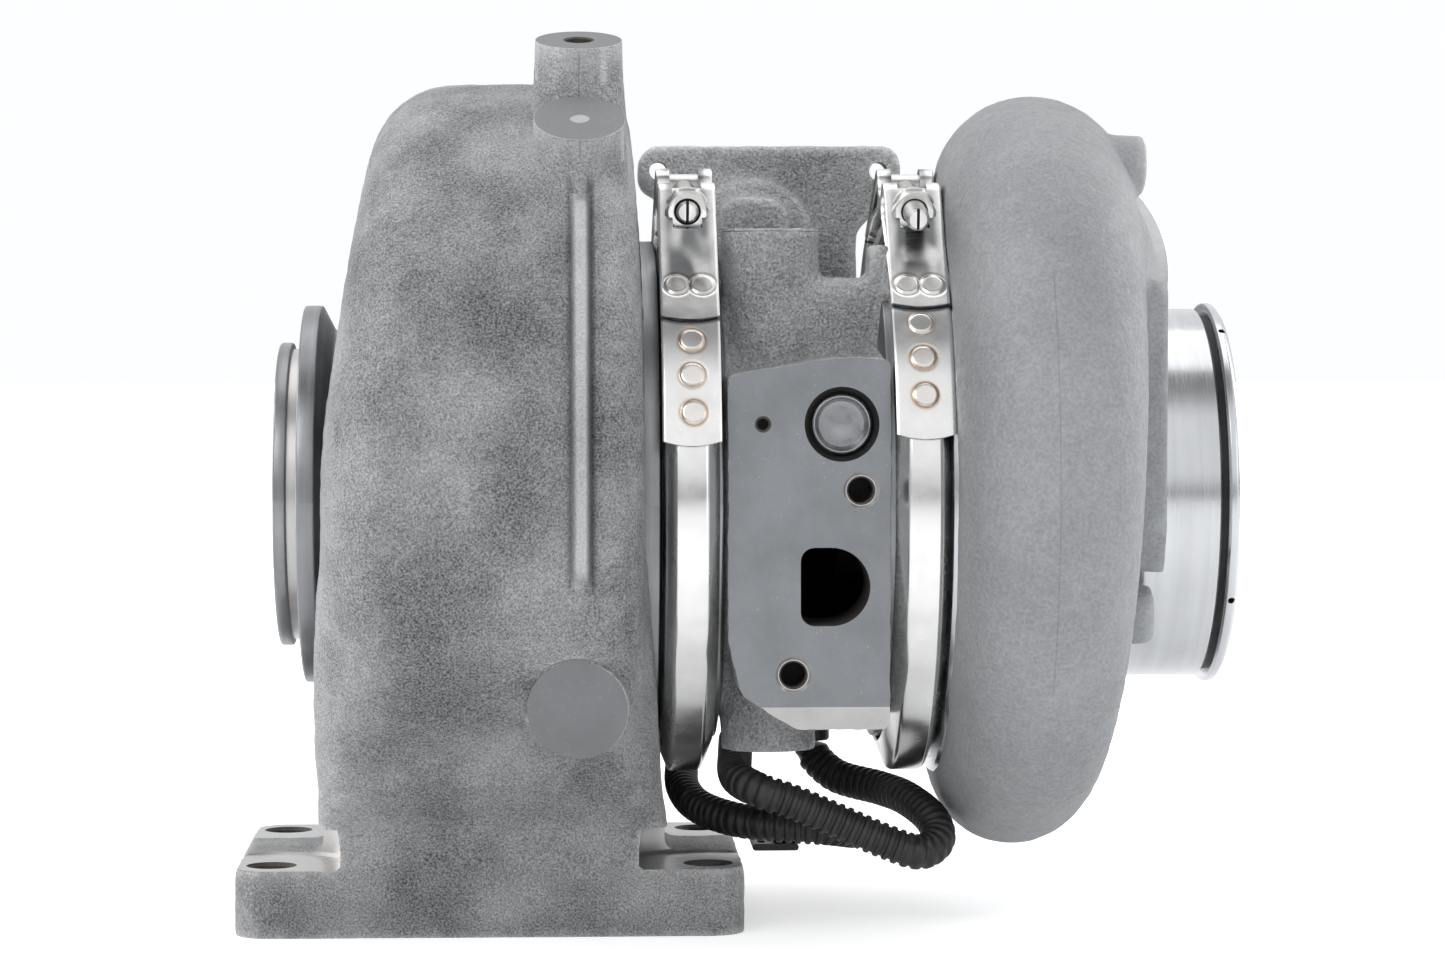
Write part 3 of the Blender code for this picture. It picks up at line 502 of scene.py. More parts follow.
CASTINGS = {        # look: name, dark, light, grain scale, relief, roughness, metallic, seam lines and painted shade lines
    "cast_iron": ("sand cast iron", (0.045, 0.048, 0.052), (0.68, 0.687, 0.70), 1500, 2.2, 0.44, 0.5,
                  # Lines as (x, low z, high z, half width, strength): one over the top bosses, then
                  # painted shade down both sides of the rib.
                  ((BOSS_X, 110, 150, 0.35, 0.35), (BOSS_X - 3.2, -28, 108, 1.7, 0.4),
                   (BOSS_X + 3.2, -28, 108, 1.9, 0.65))),
    "bearing_iron": ("bearing housing casting", (0.19, 0.195, 0.20), (0.88, 0.89, 0.90), 1150, 2.8,
                     0.42, 0.3),
    "cast_aluminium": ("cast aluminium", (0.25, 0.26, 0.27), (0.38, 0.39, 0.40), 820, 0.45,
                       0.56, 0.35, ((181, -62, 78, 0.3, 0.22),)),
}
TURNED = {          # look: name, colour, roughness, relief, streaks
    "machined_iron": ("turned iron", (0.36, 0.37, 0.385), 0.34, 0.02, 0.35),
    "machined_aluminium": ("turned aluminium", (0.70, 0.715, 0.735), 0.2, 0.014, 0.16),
    "steel": ("bright steel", (0.62, 0.62, 0.63), 0.26, 0.02, 0.25),
}
MILLED = {          # look: name, colour, roughness, metallic
    "iron_face": ("milled iron", (0.20, 0.208, 0.215), 0.45, 0.4),
    "bright_iron": ("bright milled iron", (0.66, 0.65, 0.64), 0.3, 0.85),
    "boss_mark": ("boss centre mark", (0.42, 0.42, 0.42), 0.4, 0.5),
    "pad_face": ("milled drain pad", (0.27, 0.285, 0.30), 0.4, 0.6),
    "aluminium_face": ("milled aluminium", (0.78, 0.785, 0.79), 0.28, 0.95),
}
PLAIN = {           # look: name, dark, light, roughness, metallic, grain scale, relief, painted edge highlight
    "plug_steel": ("pressed steel cup", (0.30, 0.31, 0.32), (0.33, 0.34, 0.35), 0.3, 1, 300, 0),
    "dark_bore": ("scaled iron bore", (0.05, 0.047, 0.045), (0.13, 0.12, 0.115), 0.65, 0.5, 700, 0.2),
    "zinc": ("zinc plated steel", (0.36, 0.355, 0.34), (0.52, 0.515, 0.50), 0.33, 0.95, 600, 0.02, 0.9),
    # Near black, lining grooves, holes and gaps: painted shade.
    "groove": ("oily groove", (0.012, 0.012, 0.013), (0.04, 0.04, 0.042), 0.5, 0.3, 900, 0.05),
    "nickel_alloy": ("nickel alloy casting", (0.15, 0.145, 0.14), (0.30, 0.29, 0.275), 0.42, 0.85,
                     800, 0.12),
    "gasket_steel": ("gasket steel", (0.28, 0.28, 0.28), (0.45, 0.45, 0.45), 0.5, 0.85, 900, 0.05),
    "bronze": ("bronze", (0.45, 0.29, 0.13), (0.66, 0.46, 0.24), 0.35, 1, 900, 0.05),
    "rubber": ("rubber", (0.012, 0.012, 0.012), (0.03, 0.03, 0.03), 0.7, 0, 1500, 0.05),
    "black_plastic": ("black plastic", (0.010, 0.010, 0.011), (0.034, 0.034, 0.036), 0.42, 0,
                      1500, 0.06),
}


def make_materials():
    looks = {"stainless": clamp_steel()}
    for make, table in ((cast_metal, CASTINGS), (turned_metal, TURNED), (milled_metal, MILLED),
                        (plain_grain, PLAIN)):
        looks.update({look: make(*values) for look, values in table.items()})
    return looks


# ---- turbine end

def volute_section(degrees, inset, inner):
    outer = blend_around(degrees, 116, 140, 148, 112) - inset
    left = blend_around(degrees, -49, -38, -42, -52) + inset
    right = blend_around(degrees, 50, 46, 50, 53) - inset
    return rounded([
        (-47 + inset, inner, 0), (left - 6, 76, 8), (left, outer, 28 - inset),
        (right, outer + 1, 15 - inset), (51 - inset, max(84, inner), 0), (51 - inset, inner, 0)])


def volute(inset, inner, steps, material=None):
    turns = [360 * step / steps for step in range(steps)]
    return loft([[around(x, radius, degrees) for x, radius in volute_section(degrees, inset, inner)]
                 for degrees in turns], material, closed=True)


def duct(levels, steps, material=None):
    """A rounded shaft from (z, left, right, front, back, corner) levels, joined smoothly."""
    rings = []
    for step in range(steps + 1):
        share = step / steps
        low = curve_through([level[:3] for level in levels], share)
        high = curve_through([level[3:] for level in levels], share)
        z, left, right = low
        front, back, radius = high
        rings.append([(x, y, z) for x, y in rectangle(left, front, right, back, radius)])
    return loft(rings, material)


def turbine_rib(casing):
    """The raised rib down the front of the volute, standing on the surface of the casting."""
    rings = []
    for step in range(45):
        degrees = -12.5 + 63 * step / 44
        towards = -Vector(around(0, 1, degrees))
        found, place, _, _ = casing.ray_cast(Vector(around(BOSS_X, 250, degrees)), towards)
        radius = hypot(place.y, place.z) if found else 120
        ends = smooth_step(step / 3) * smooth_step((44 - step) / 3)
        rings.append([around(BOSS_X + side, radius + lift, degrees) for side, lift in (
            (-3.6, -5), (3.6, -5), (3.3, 0.2), (2.3, 3.2 * ends), (1.5, 4 * ends),
            (-1.5, 4 * ends), (-2.3, 3.2 * ends), (-3.3, 0.2))])
    return loft(rings)


def crisp_boss(base, top, radius, material):
    """The upper part of a cast boss whose end face a cutter has trimmed."""
    length = (Vector(top) - Vector(base)).length
    return spun([(0, radius + 0.35), (length - 0.5, radius), (length, radius - 0.4)],
                base, top, material, 96)


def build_turbine_casing(looks):
    iron = looks["cast_iron"]
    machined = looks["machined_iron"]
    body = volute(0, 40, 96, iron)
    foot = box((-85, -62, -AXIS_HEIGHT - 3), (85, 62, FOOT_TOP), 12)
    levels = [(-134, -57, 59, -61.5, 61, 4), (-124, -57, 59, -61.5, 61, 4),
              (-108, -57, 59, -63, 65, 5), (-97, -57, 57.5, -71, 86, 14),
              (-75, -58, 56, -84, 112, 22), (-45, -57, 54, -99, 132, 26),
              (-15, -54, 52, -108, 140, 28), (20, -44, 48, -104, 134, 28)]
    add(body, duct(levels, 40), foot)
    for degrees, base, top, wide in TOP_BOSSES:
        add(body, rod(around(BOSS_X, base, degrees), around(BOSS_X, top - 2, degrees),
                      wide + 2, None, wide - 0.2))
    add(body, rod((BOSS_X - 0.5, -78, -61), (BOSS_X - 1, -97.5, -64.3), 18.5, None, 15.9))
    cast_skin(body, 1.9, 7, 0.32, 3, iron)
    for degrees, _, top, wide in TOP_BOSSES:
        add(body, crisp_boss(around(BOSS_X, top - 13, degrees), around(BOSS_X, top, degrees),
                             wide, iron))
    add(body, crisp_boss((BOSS_X - 0.7, -86, -62), (BOSS_X - 1, -102.5, -64.9), 16.3, iron))
    rib = turbine_rib(body)
    rib.data.materials.append(iron)
    add(body, rib)
    add(body, turned([(-67.7, 48), (-67.7, 49.9), (-63.3, 49.9), (-63.3, 48)], looks["bright_iron"]))
    add(body, turned([
        (-72, 44, 0.5), (-72, 52, 1.1), (-67.5, 52, 0.7), (-67.5, 49.5, 0.6), (-63.5, 49.5, 0.6),
        (-63.5, 64.7, 0.8), (-57.5, 64.7, 0.8), (-53, 56, 2), (-40, 56, 1), (-40, 44, 0.5)],
        machined))
    add(body, turned([
        (46, 41, 0.5), (46, 86.8, 1.5), (55.8, 86.8, 0.6), (56.3, 84, 0.6), (58.8, 84, 0.6),
        (62.2, FLANGE_RADIUS, 0.7), (66, FLANGE_RADIUS, 0.4), (66, 41, 0.4)], machined))
    cut_turbine_faces(body, looks)
    cut_turbine_passages(body, looks["dark_bore"])
    show(body, "turbine_casing", "turbine_housing")


def cut_turbine_faces(body, looks):
    """The flats that a cutter left: foot, bolt seats and bosses."""
    face = looks["iron_face"]
    cut(body, box((-100, -80, -AXIS_HEIGHT - 20), (100, 80, -AXIS_HEIGHT), 1, "z", face))
    for side in (-1, 1):
        for near in (-1, 1):
            centre = (side * 73, near * 46)
            cut(body, spun([(0, 27.2), (1.2, 28.4), (13.9, 28.4)], (*centre, FOOT_TOP - 0.7),
                           (*centre, 0), looks["bright_iron"], 96))
            cut(body, spun([(0, 7), (38, 7), (39.2, 8.4), (44, 8.4)],
                           (*centre, -AXIS_HEIGHT - 16.9), (*centre, 0), looks["dark_bore"]))
    for degrees, _, top, wide in TOP_BOSSES:
        cut(body, rod(around(BOSS_X, top - 0.3, degrees), around(BOSS_X, top + 20, degrees),
                      wide + 2, face))
    drilled, marked = (boss[0] for boss in TOP_BOSSES)
    cut(body, spun([(0, 0.5), (2.6, 4.5), (14, 4.65), (14.6, 5.3), (20, 5.4)],
                   around(BOSS_X, 144.2, drilled), around(BOSS_X, 166, drilled), looks["dark_bore"]))
    cut(body, rod(around(BOSS_X, 145.9, marked), around(BOSS_X, 152, marked), 3.3,
                  looks["boss_mark"]))
    cut(body, rod((BOSS_X - 1, -102.1, -64.8), (BOSS_X - 1.5, -114, -67), 17.2, face))


def cut_turbine_passages(body, bore):
    cut(body, turned([
        (-80, 0), (-80, 47), (-40, 45), (-4, 42), (10, 42.6), (20, 45), (22, 47.2), (22, 68.4),
        (26.9, 68.4), (26.9, 76), (43.5, 76), (43.5, 70.4),
        (58.7, 70.4), (58.7, 80), (70, 80), (70, 0)], bore, 96))
    cut(body, turned([(8, 50.5), (23, 50.5), (23, 63.5), (8, 63.5)], bore, 96),
        volute(6.5, 71.5, 48, bore))
    for left, right in ((-44, -4), (4, 44)):
        levels = [(-150, left, right, -38, 38, 8), (-104, left, right, -40, 42, 8),
                  (-84, left, right, -58, 70, 8), (-66, left, right, -64, 92, 8)]
        cut(body, duct(levels, 16, bore))
    cut(body, rod(around(62.1, 86, 200), around(70.1, 86, 200), 2.5, bore, steps=16))


# ---- wheels

def blade(stations, count, index, lean, thick, steps=22):
    """One wheel blade from (x, hub radius, tip radius, twist) stations, curved between them."""
    start = 360 / count * index
    rings = []
    for step in range(steps + 1):
        x, low, high = curve_through([station[:3] for station in stations], step / steps)
        twist = curve_through([(station[3], 0, 0) for station in stations], step / steps)[0]
        thin = 0.55 + 0.45 * sin(pi * step / steps)
        rows = []
        for part in (0, 0.25, 0.5, 0.75, 1):
            radius = low + (high - low) * part
            width = thick * (1.3 - 0.75 * part) * thin
            degrees = start + twist + lean * part
            rows.append((radius, degrees, math.degrees(width / 2 / radius)))
        near = [around(x, radius, degrees - half) for radius, degrees, half in rows]
        far = [around(x, radius, degrees + half) for radius, degrees, half in reversed(rows)]
        rings.append(near + far)
    return loft(rings)


def build_wheels(looks):
    alloy = looks["nickel_alloy"]
    body = turned([
        (-14, 0), (-14, 6), (-13, 7.4), (-11, 9), (0, 11.2), (10, 14), (18, 18), (24, 22),
        (31, 28.5), (36, 34), (39, 38), (41, 41), (44, 41), (44.6, 26), (46, 14), (46.5, 10.6),
        (54, 10.6), (54, 9), (56.4, 9), (56.4, 10.6), (62, 10.6), (64, 7), (124, 7), (124.5, 5),
        (214, 5), (215, 4.2), (215, 0)], alloy, 72)
    stations = [(-3, 8.5, 41, -34), (8, 11.5, 41.4, -15), (20, 17, 43.4, -3),
                (29, 24, 46.3, 0), (42.5, 38, 46.3, 0)]
    for index in range(11):
        add(body, blade(stations, 11, index, 3, 2))
    for _ in range(6):
        cut(body, slab([(-30, 6.2), (30, 6.2), (30, 14), (-30, 14)], -16, -10.5, "x"))
        body.data.transform(Matrix.Rotation(radians(60), 4, "X"))
    show(body, "turbine_rotor", "turbine_wheel_and_shaft", "rotor")

    wheel = turned([
        (152.8, 5.3), (152.8, 11.4), (155.6, 20), (157.2, 34), (158, 48.6), (159.6, 48.8),
        (160.4, 44), (163, 36), (166, 29.5), (170, 24), (175.5, 19.4), (182, 16), (190, 14),
        (198, 13), (200.4, 12.6), (201, 11.4), (201, 5.3)], looks["machined_aluminium"], 96)
    full = [(159, 44, 49.8, -8), (164, 30, 47.8, -2), (173, 19, 39.6, 11),
            (184, 13.5, 37.4, 26), (197, 11, 37.2, 46)]
    for index in range(7):
        add(wheel, blade(full, 7, index, -4, 1.35))
        add(wheel, blade(full[:4], 7, index + 0.5, -4, 1.35))
    show(wheel, "compressor_impeller", "compressor_wheel", "rotor")

    nut = hexagon((201.3, 0, 0), (210, 0, 0), 8.7, 7.8, looks["steel"])
    cut(nut, rod((200, 0, 0), (212, 0, 0), 5.3, looks["steel"]))
    show(nut, "impeller_nut", "shaft_nut", "rotor")


def hexagon(start, end, length, flat, material):
    """A hexagonal nut body with its corners turned down at both ends."""
    wide = flat / cos(pi / 6)
    prism = rod(start, end, wide, material, steps=6)
    limits = spun([(-0.2, flat * 0.93), (0, flat * 0.97), (1.1, wide * 1.02),
                   (length - 1.1, wide * 1.02), (length, flat * 0.97),
                   (length + 0.2, flat * 0.93)], start, end, material, 64)
    combine(prism, limits, "INTERSECT")
    return prism


# ---- bearing housing

TOP_PORT = (94, -40)            # x and y of the coolant ports
LOW_PORT = (94, -30)
PAD_OUTLINE = ((78, 42, 2), (112, 47.8, 6), (131, 47.8, 1), (131, -73.7, 1.5), (100.3, -73.7, 4),
               (82, -62, 7), (78, -44, 9))
PLATE_OUTLINE = ((52.5, 122, 7), (147, 122, 7), (147, 106, 6), (131, 92, 6), (131, -20, 6),
                 (78.5, -20, 6), (78.5, 92, 6), (52.5, 106, 6))


def build_bearing_casing(looks):
    iron = looks["bearing_iron"]
    body = turned([(76, 20), (76, 78), (79, DRUM_RADIUS), (128, DRUM_RADIUS), (130.5, 80),
                   (133, 80), (133, 20)], iron, 96)
    add(body, slab(rounded(PAD_OUTLINE), PAD_Y - 2.5, -8, "y"),
        slab(rounded(PLATE_OUTLINE), PLATE_Y - 13, PLATE_Y + 1.5, "y"),
        rod((*TOP_PORT, 30), (*TOP_PORT, 92.5), 17.4, None, 16.1),
        rod((*LOW_PORT, -40), (*LOW_PORT, -86.5), 17, None, 16),
        box((94, -52, 30), (132, -28, 74), 5, "x"),
        box((80, 44, 76), (105.6, 64, 103), 8, "y"),
        rod((93, 56.5, 88), (93, 64, 88), 22.5),
        box((126.5, -52, 40), (133.5, -30, 85), 5, "x"),
        rod((*SENSOR, -50), (*SENSOR, -79), 11))
    cut(body, rod((90.6, -75.5, 47), (90.9, -73.5, 65), 1.7))
    cast_skin(body, 1.6, 5, 0.38, 11, iron)
    machined = looks["machined_iron"]
    add(body, turned([
        (49, 4, 0), (49, 45.2, 0), (62, 45.2, 0), (62, 66.6, 0), (49, 66.6, 0), (49, 70, 0),
        (61.3, 70, 0), (61.3, 79.5, 0), (66.3, 79.5, 0), (66.3, FLANGE_RADIUS, 0.4),
        (69.8, FLANGE_RADIUS, 0.8), (73, 84, 0.6), (76.5, 84, 0.8), (79, 70, 1), (79, 4, 0)],
        machined))
    add(body, turned([
        (128, 4, 0), (128, 70, 1), (130.5, 84, 0.8), (135, 84, 0.6), (138, FLANGE_RADIUS, 0.8),
        (141.6, FLANGE_RADIUS, 0.4), (141.6, 4, 0)], machined))
    cut_bearing_faces(body, looks)
    cut_bearing_passages(body, looks["dark_bore"])
    show(body, "bearing_casing", "bearing_housing")


def cut_bearing_faces(body, looks):
    """Drain pad, actuator face, coolant ports and the holes in them."""
    bright, face, bore = (looks[look] for look in ("bright_iron", "iron_face", "dark_bore"))
    strip = [(PAD_Y - 9, -100), (PAD_Y + 4, -100), (PAD_Y + 4, -74.6), (PAD_Y, -66),
             (PAD_Y - 9, -60)]
    rim = [(0, 16.9), (0.9, 16), (1, 20), (-0.2, 20)]
    cut(body, box((60, PAD_Y - 20, -110), (150, PAD_Y, 70), 1, "y", looks["pad_face"]),
        slab(strip, 70, 140, "x", bright),
        box((40, PLATE_Y, -40), (160, PLATE_Y + 14, 140), 1, "y", face),
        rod((*TOP_PORT, 90.4), (*TOP_PORT, 100.4), 21, bright),
        spun(rim, (*TOP_PORT, 89.6), (*TOP_PORT, 120), bright),
        rod((*LOW_PORT, -85), (*LOW_PORT, -95), 21, face))
    drain = [(111.5 + 12.8 * sin(radians(step * 6)),
              -26.7 + 12.8 * cos(radians(step * 6))) for step in range(31)]
    drain += rounded([(112, -26.7, 0), (111.4, -39.5, 0), (101.6, -39.5, 4.5),
                      (101.6, -13.9, 4.5), (111.4, -13.9, 0)])[2:-1]
    cut(body, slab(drain, -95, -44, "y", bore))
    for x, z in ((121.3, 4.7), (99.3, -55.5)):
        threads = [(-6, 5.7), (5, 5.7), (6.3, 4.5)] + thread_profile(6.5, 24, 4.75, 4.2, 1.5)
        cut(body, spun(threads, (x, PAD_Y - 5, z), (x, 0, z), bore))
        cut(body, spun([(0, 6.1), (0.55, 5.6), (1.2, 5)], (x, PAD_Y - 0.15, z), (x, 0, z), bright))
    cut(body, spun([(0, 2.7), (5, 2.7), (5.6, 1.9), (10, 1.9), (11.2, 0.4)],
                   (89.3, PAD_Y - 5, CROSS_Z), (89.3, 0, CROSS_Z), bore))
    for x in (59.5, 138.7):
        cut(body, rod((x, 40, 113), (x, 90, 113), 3.3, bore))
    # The cup plug's seat, lined near black: painted shade in the gap round the plug.
    cut(body, spun([(0, 13.6), (5, 12.2), (7.4, 10.6), (11, 10.3)],
                   (CROSS_X, PAD_Y - 5, CROSS_Z), (CROSS_X, 0, CROSS_Z), looks["groove"], 96))
    cut(body, rod((CROSS_X, PAD_Y + 5, CROSS_Z), (CROSS_X, -40, CROSS_Z), 9.2, bore))
    cut(body, rod((CROSS_X, 40, CROSS_Z), (CROSS_X, 90, CROSS_Z), 9.2, bore))
    cut(body, spun([(0, 8), (31, 8), (32.6, 9.6), (40, 9.6)], (*TOP_PORT, 58), (*TOP_PORT, 100), bore),
        spun([(0, 8), (18, 8), (19.4, 9.4), (26, 9.4)], (*LOW_PORT, -66), (*LOW_PORT, -95), bore))


def cut_bearing_passages(body, bore):
    cut(body, turned([(86, 17.5), (118, 17.5), (118, 30), (127, 30), (127, 63), (86, 63)], bore, 60))
    cut(body, rod((CROSS_X, -45, CROSS_Z), (CROSS_X, 45, CROSS_Z), 7.5, bore))
    cut(body, turned([
        (40, 0), (40, 12), (64.5, 12), (64.5, 10.2), (70, 10.2), (70, 11.6), (88.2, 11.6),
        (88.2, 8.6), (107, 8.6), (107, 11.6), (126, 11.6), (126, 27), (133, 27), (133, 0)], bore, 60))
    cut(body, turned([(132, 0), (132, 44), (137.5, 44), (137.5, 52), (150, 52), (150, 0)], bore, 60))
    cut(body, *(rod((50, y, 0), (90, y, 0), 5.35, bore, steps=32) for y in (-ROD_Y, ROD_Y)))
    cut(body, rod((*SENSOR, -56), (*SENSOR, -90), 6.3, bore))
    cut(body, rod(around(64, 86, 200), around(70.1, 86, 200), 2.5, bore, steps=16))
    for index in range(4):
        degrees = 45 + 90 * index
        cut(body, rod(around(131, 62, degrees), around(150, 62, degrees), 2.9, bore, steps=20))
    for index in range(3):
        degrees = 30 + 120 * index
        cut(body, rod(around(118.5, 21.5, degrees), around(127, 21.5, degrees), 2, bore, steps=16))


def build_core_plug(looks):
    """A pressed cup: flat rim, rounded lip and a shallow dished floor."""
    plug = spun([(4.6, 9), (4.6, 9.75), (1.4, 9.8), (0.5, 9.6), (0.2, 9.2), (0.3, 8.8),
                 (0.9, 8.45), (2, 8.2), (2.7, 7.4), (2.95, 5), (2.6, 2.5), (2.45, 0.3)],
                (CROSS_X, PAD_Y + 1, CROSS_Z), (CROSS_X, 0, CROSS_Z), looks["plug_steel"], 96)
    show(plug, "cup_plug", "core_plug")


# ---- compressor end

def scroll(inset, steps, sides, material=None):
    """The snail that winds outwards round the compressor, from its tongue to the outlet."""
    rings = []
    for step in range(steps + 1):
        degrees = 115 + 334.9 * step / steps
        radius = 15 + 19 * ((degrees - 115) % 360 / 335) ** 0.75
        wide = radius - inset
        rings.append([around(SCROLL_LEFT + radius + wide * a, 69 + radius + wide * b, degrees)
                      for a, b in circle(sides)])
    return loft(rings, material)


def outlet_pipe(inset, steps, sides, material=None):
    """The pipe from the scroll's thick end towards the back; an inset one runs past its end."""
    rings = []
    for step in range(steps + 1):
        share = -0.08 + (1.08 + 0.04 * inset) * step / steps
        bend = smooth_step(share)
        centre = Vector((185.7 + (OUTLET_PIPE.x - 185.7) * bend, OUTLET_PIPE.y * share,
                         103 + (OUTLET_PIPE.z - 103) * bend))
        radius = 31 + (OUTLET_PIPE_RADIUS - 31) * bend - inset
        rings.append([centre + Vector((radius * a, 0, radius * b)) for a, b in circle(sides)])
    return loft(rings, material)


def build_compressor_casing(looks):
    aluminium = looks["cast_aluminium"]
    face = looks["aluminium_face"]
    machined = looks["machined_aluminium"]
    body = turned([(151, 30), (151, 84), (170, 84), (196, 73), (203, 62), (206, 60), (206, 30)],
                  aluminium, 96)
    add(body, scroll(0, 120, 40), outlet_pipe(0, 24, 48))
    add(body, rod((190, -66, -37.5), (219.4, -66, -37.5), 11, None, 9.6))
    add(body, inlet_pad())
    add(body, rod((196, -30, 112.3), (221.5, -30, 112.3), 10.6, None, 9.9))
    cast_skin(body, 1.9, 5, 0.2, 23, aluminium)
    cut(body, box((222.3, -100, -28), (240, -40, 100), 1, "x", face))
    cut(body, box((219, -100, -60), (240, -40, -28), 1, "x", face))
    add(body, turned([
        (142.2, 70, 0.3), (142.2, FLANGE_RADIUS, 0.6), (145.6, FLANGE_RADIUS, 0.8), (149.2, 84, 0.8),
        (150.6, 84, 0.4), (150.6, 95.4, 0.5), (152.8, 97, 0.6), (158, 97, 0), (160, 78, 0),
        (160, 70, 0.3)], machined))
    add(body, turned([
        (196, 40, 0), (196, INLET_RADIUS, 0), (206, INLET_RADIUS, 0), (242.6, INLET_RADIUS, 0),
        (243.4, 62.7, 0), (243.4, 50, 0), (240, 44, 0)], machined))
    add(body, spun([(-9, 40), (-9, 44), (-8.4, 44.5), (-0.2, 44.5), (0.5, 43.8), (0.5, 37)],
                   tuple(OUTLET_PIPE), tuple(OUTLET_PIPE + Vector((0, 10, 0))), face, FINE))
    cut(body, turned([
        (140, 0), (140, 80.4), (157.4, 80.4), (158.1, 91.3), (162.8, 90.1), (163.2, 50.5),
        (166, 48), (169.5, 44.4), (174, 41.5), (180, 39.2), (186, 38.2), (204, 38), (210, 39),
        (216, 41), (222, 44.6), (228, 50), (233, 55), (238, 58.6), (246, 58.6), (246, 0)],
        machined, 96))
    cut(body, scroll(SCROLL_WALL, 60, 32, aluminium), outlet_pipe(SCROLL_WALL, 16, 40, aluminium))
    show(body, "compressor_casing", "compressor_housing")


def inlet_pad():
    """The long raised pad beside the inlet tube; its lower end tapers away."""
    outline = rounded([(-81, 74, 4), (-56, 74, 4), (-56, -22, 2), (-74, -22, 5), (-81, -6, 6)])
    return loft([[(x, y + shrink, z - shrink * 0.8) for y, z in outline]
                 for x, shrink in ((188, 0), (225, 1.8))])


def build_inlet_ring(looks):
    bright = looks["machined_aluminium"]
    body = turned([
        (238.6, 52.8, 0), (238.6, 58.2, 0.3), (245.4, 58.2, 0.2), (245.4, 64.6, 0.4),
        (246.1, 65.5, 0.6), (248.4, 65.5, 1.2), (250, 63, 1.6), (250, 59, 1.2), (245, 54.5, 1)],
        bright, 160)
    # A near-black ring in the step and four near-black holes: painted shade.
    add(body, turned([(243.7, 57), (243.7, 61.2), (245.5, 61.2), (245.5, 57)],
                     looks["groove"]))
    for degrees in (-31, 59, 149, 239):
        cut(body, rod(around(247.6, 60, degrees), around(247.6, 70, degrees), 1.2,
                      looks["groove"], steps=20))
    show(body, "inlet_mouth_ring", "inlet_ring")


# ---- V clamps

def clamp_ring(place, corners):
    """A ring across a clamp's bolt line, from (along the rotor axis, outward) corners."""
    turn = radians(CLAMP_OPENING)
    up = Vector((0, -cos(turn), sin(turn)))
    return [place + up * out + Vector((along, 0, 0)) for along, out in corners]


def bolt_point(x, distance, reach=BOLT_REACH):
    """A point by its distance along a clamp's bolt line, towards the nut, and its reach."""
    turn = radians(CLAMP_OPENING)
    return Vector((x, -reach * cos(turn) - distance * sin(turn),
                   reach * sin(turn) - distance * cos(turn)))


def strap_path(inner_end, outer_end):
    """The strip's middle line beside the opening, as (distance along the bolt, reach) points:
    up the inner leg, round the trunnion and down the outer leg."""
    inner, outer, loop = 96.3, 97.75, 6.45
    centre = Vector((TRUNNION_PLACE, BOLT_REACH))

    def on_circle(radius, degrees):
        angle = radians(degrees)
        return Vector((radius * sin(angle), radius * cos(angle)))

    points = [on_circle(inner, inner_end + (15.5 - inner_end) * step / 59) for step in range(60)]
    side = math.degrees(math.acos((outer - loop) / centre.length))
    meets = side + math.degrees(atan2(centre.x, centre.y))
    sweep = 270 - (90 - meets)
    for step in range(41):
        angle = radians(-90 - sweep * step / 40)
        points.append(centre + Vector((loop * cos(angle), loop * sin(angle))))
    for left in range(13, 0, -1):
        points.append(points[-1].lerp(on_circle(outer, meets), 1 / left))
    return points + [on_circle(outer, meets + (outer_end - meets) * step / 9)
                     for step in range(1, 10)]


def lengths_along(points):
    """How far each point of a row is from the first one, along the row."""
    lengths = [0]
    for before, after in zip(points, points[1:]):
        lengths.append(lengths[-1] + (after - before).length)
    return lengths


def path_walker(points):
    """A function that gives the point and normal at a length along a row of points."""
    lengths = lengths_along(points)

    def walk(length):
        length = min(max(length, 0), lengths[-1] - 1e-6)
        index = max(i for i in range(len(lengths) - 1) if lengths[i] <= length)
        span = max(lengths[index + 1] - lengths[index], 1e-9)
        part = (length - lengths[index]) / span
        ahead = (points[min(index + 2, len(points) - 1)] - points[max(index - 1, 0)]).normalized()
        return points[index].lerp(points[index + 1], part), Vector((ahead.y, -ahead.x))

    return walk, lengths[-1]


def build_strap(name, node, x, side, inner_end, outer_end, welds, looks):
    """One end strap of a clamp: a strip folded round its trunnion and spot-welded to the band."""
    steel = looks["stainless"]
    thick, columns = 1.3, 40
    walk, total = path_walker(strap_path(inner_end, outer_end))
    stations = int(total / 0.55)
    rings = []
    for station in range(stations + 1):
        upper, under = [], []
        for column in range(columns + 1):
            across = 2 * column / columns - 1
            bulge = 1.6 * across * across
            length = bulge + (total - 2 * bulge) * station / stations
            point, normal = walk(length)
            rim = 0.35 * smooth_step((abs(across) - 0.93) / 0.07)
            for row, lift in ((upper, thick / 2 - rim), (under, rim - thick / 2)):
                place = point - normal * lift
                row.append(bolt_point(x + STRAP_HALF * across, side * place.x, place.y))
        rings.append(upper + list(reversed(under)))
    body = loft(rings, steel)
    raise_welds(body, x, welds)
    corners = ((-4.9, -4.9), (4.9, -4.9), (4.9, 12), (-4.9, 12))
    cut(body, loft([clamp_ring(bolt_point(x, side * distance), corners) for distance in (3, 37)],
                   steel))
    # Brown heat tint round the welds, then painted shade and a painted shadow on the strap.
    mark_heat_and_shade(body, x, welds, outer_end)
    show(body, name, node, sharp=50)


def raise_welds(body, x, welds):
    """Press each spot weld out of the strip as a low round button."""
    for vertex in body.data.vertices:
        radial = Vector((0, vertex.co.y, vertex.co.z))
        for along, degrees, _ in welds:
            centre = Vector(around(x + along, radial.length, degrees))
            away = (vertex.co - centre).length
            if away < 6:
                button = 0.45 * smooth_step((4.1 - away) / 0.5)
                groove = 0.14 * smooth_step(1 - abs(away - 4.5) / 0.7)
                vertex.co += radial.normalized() * (button - groove)


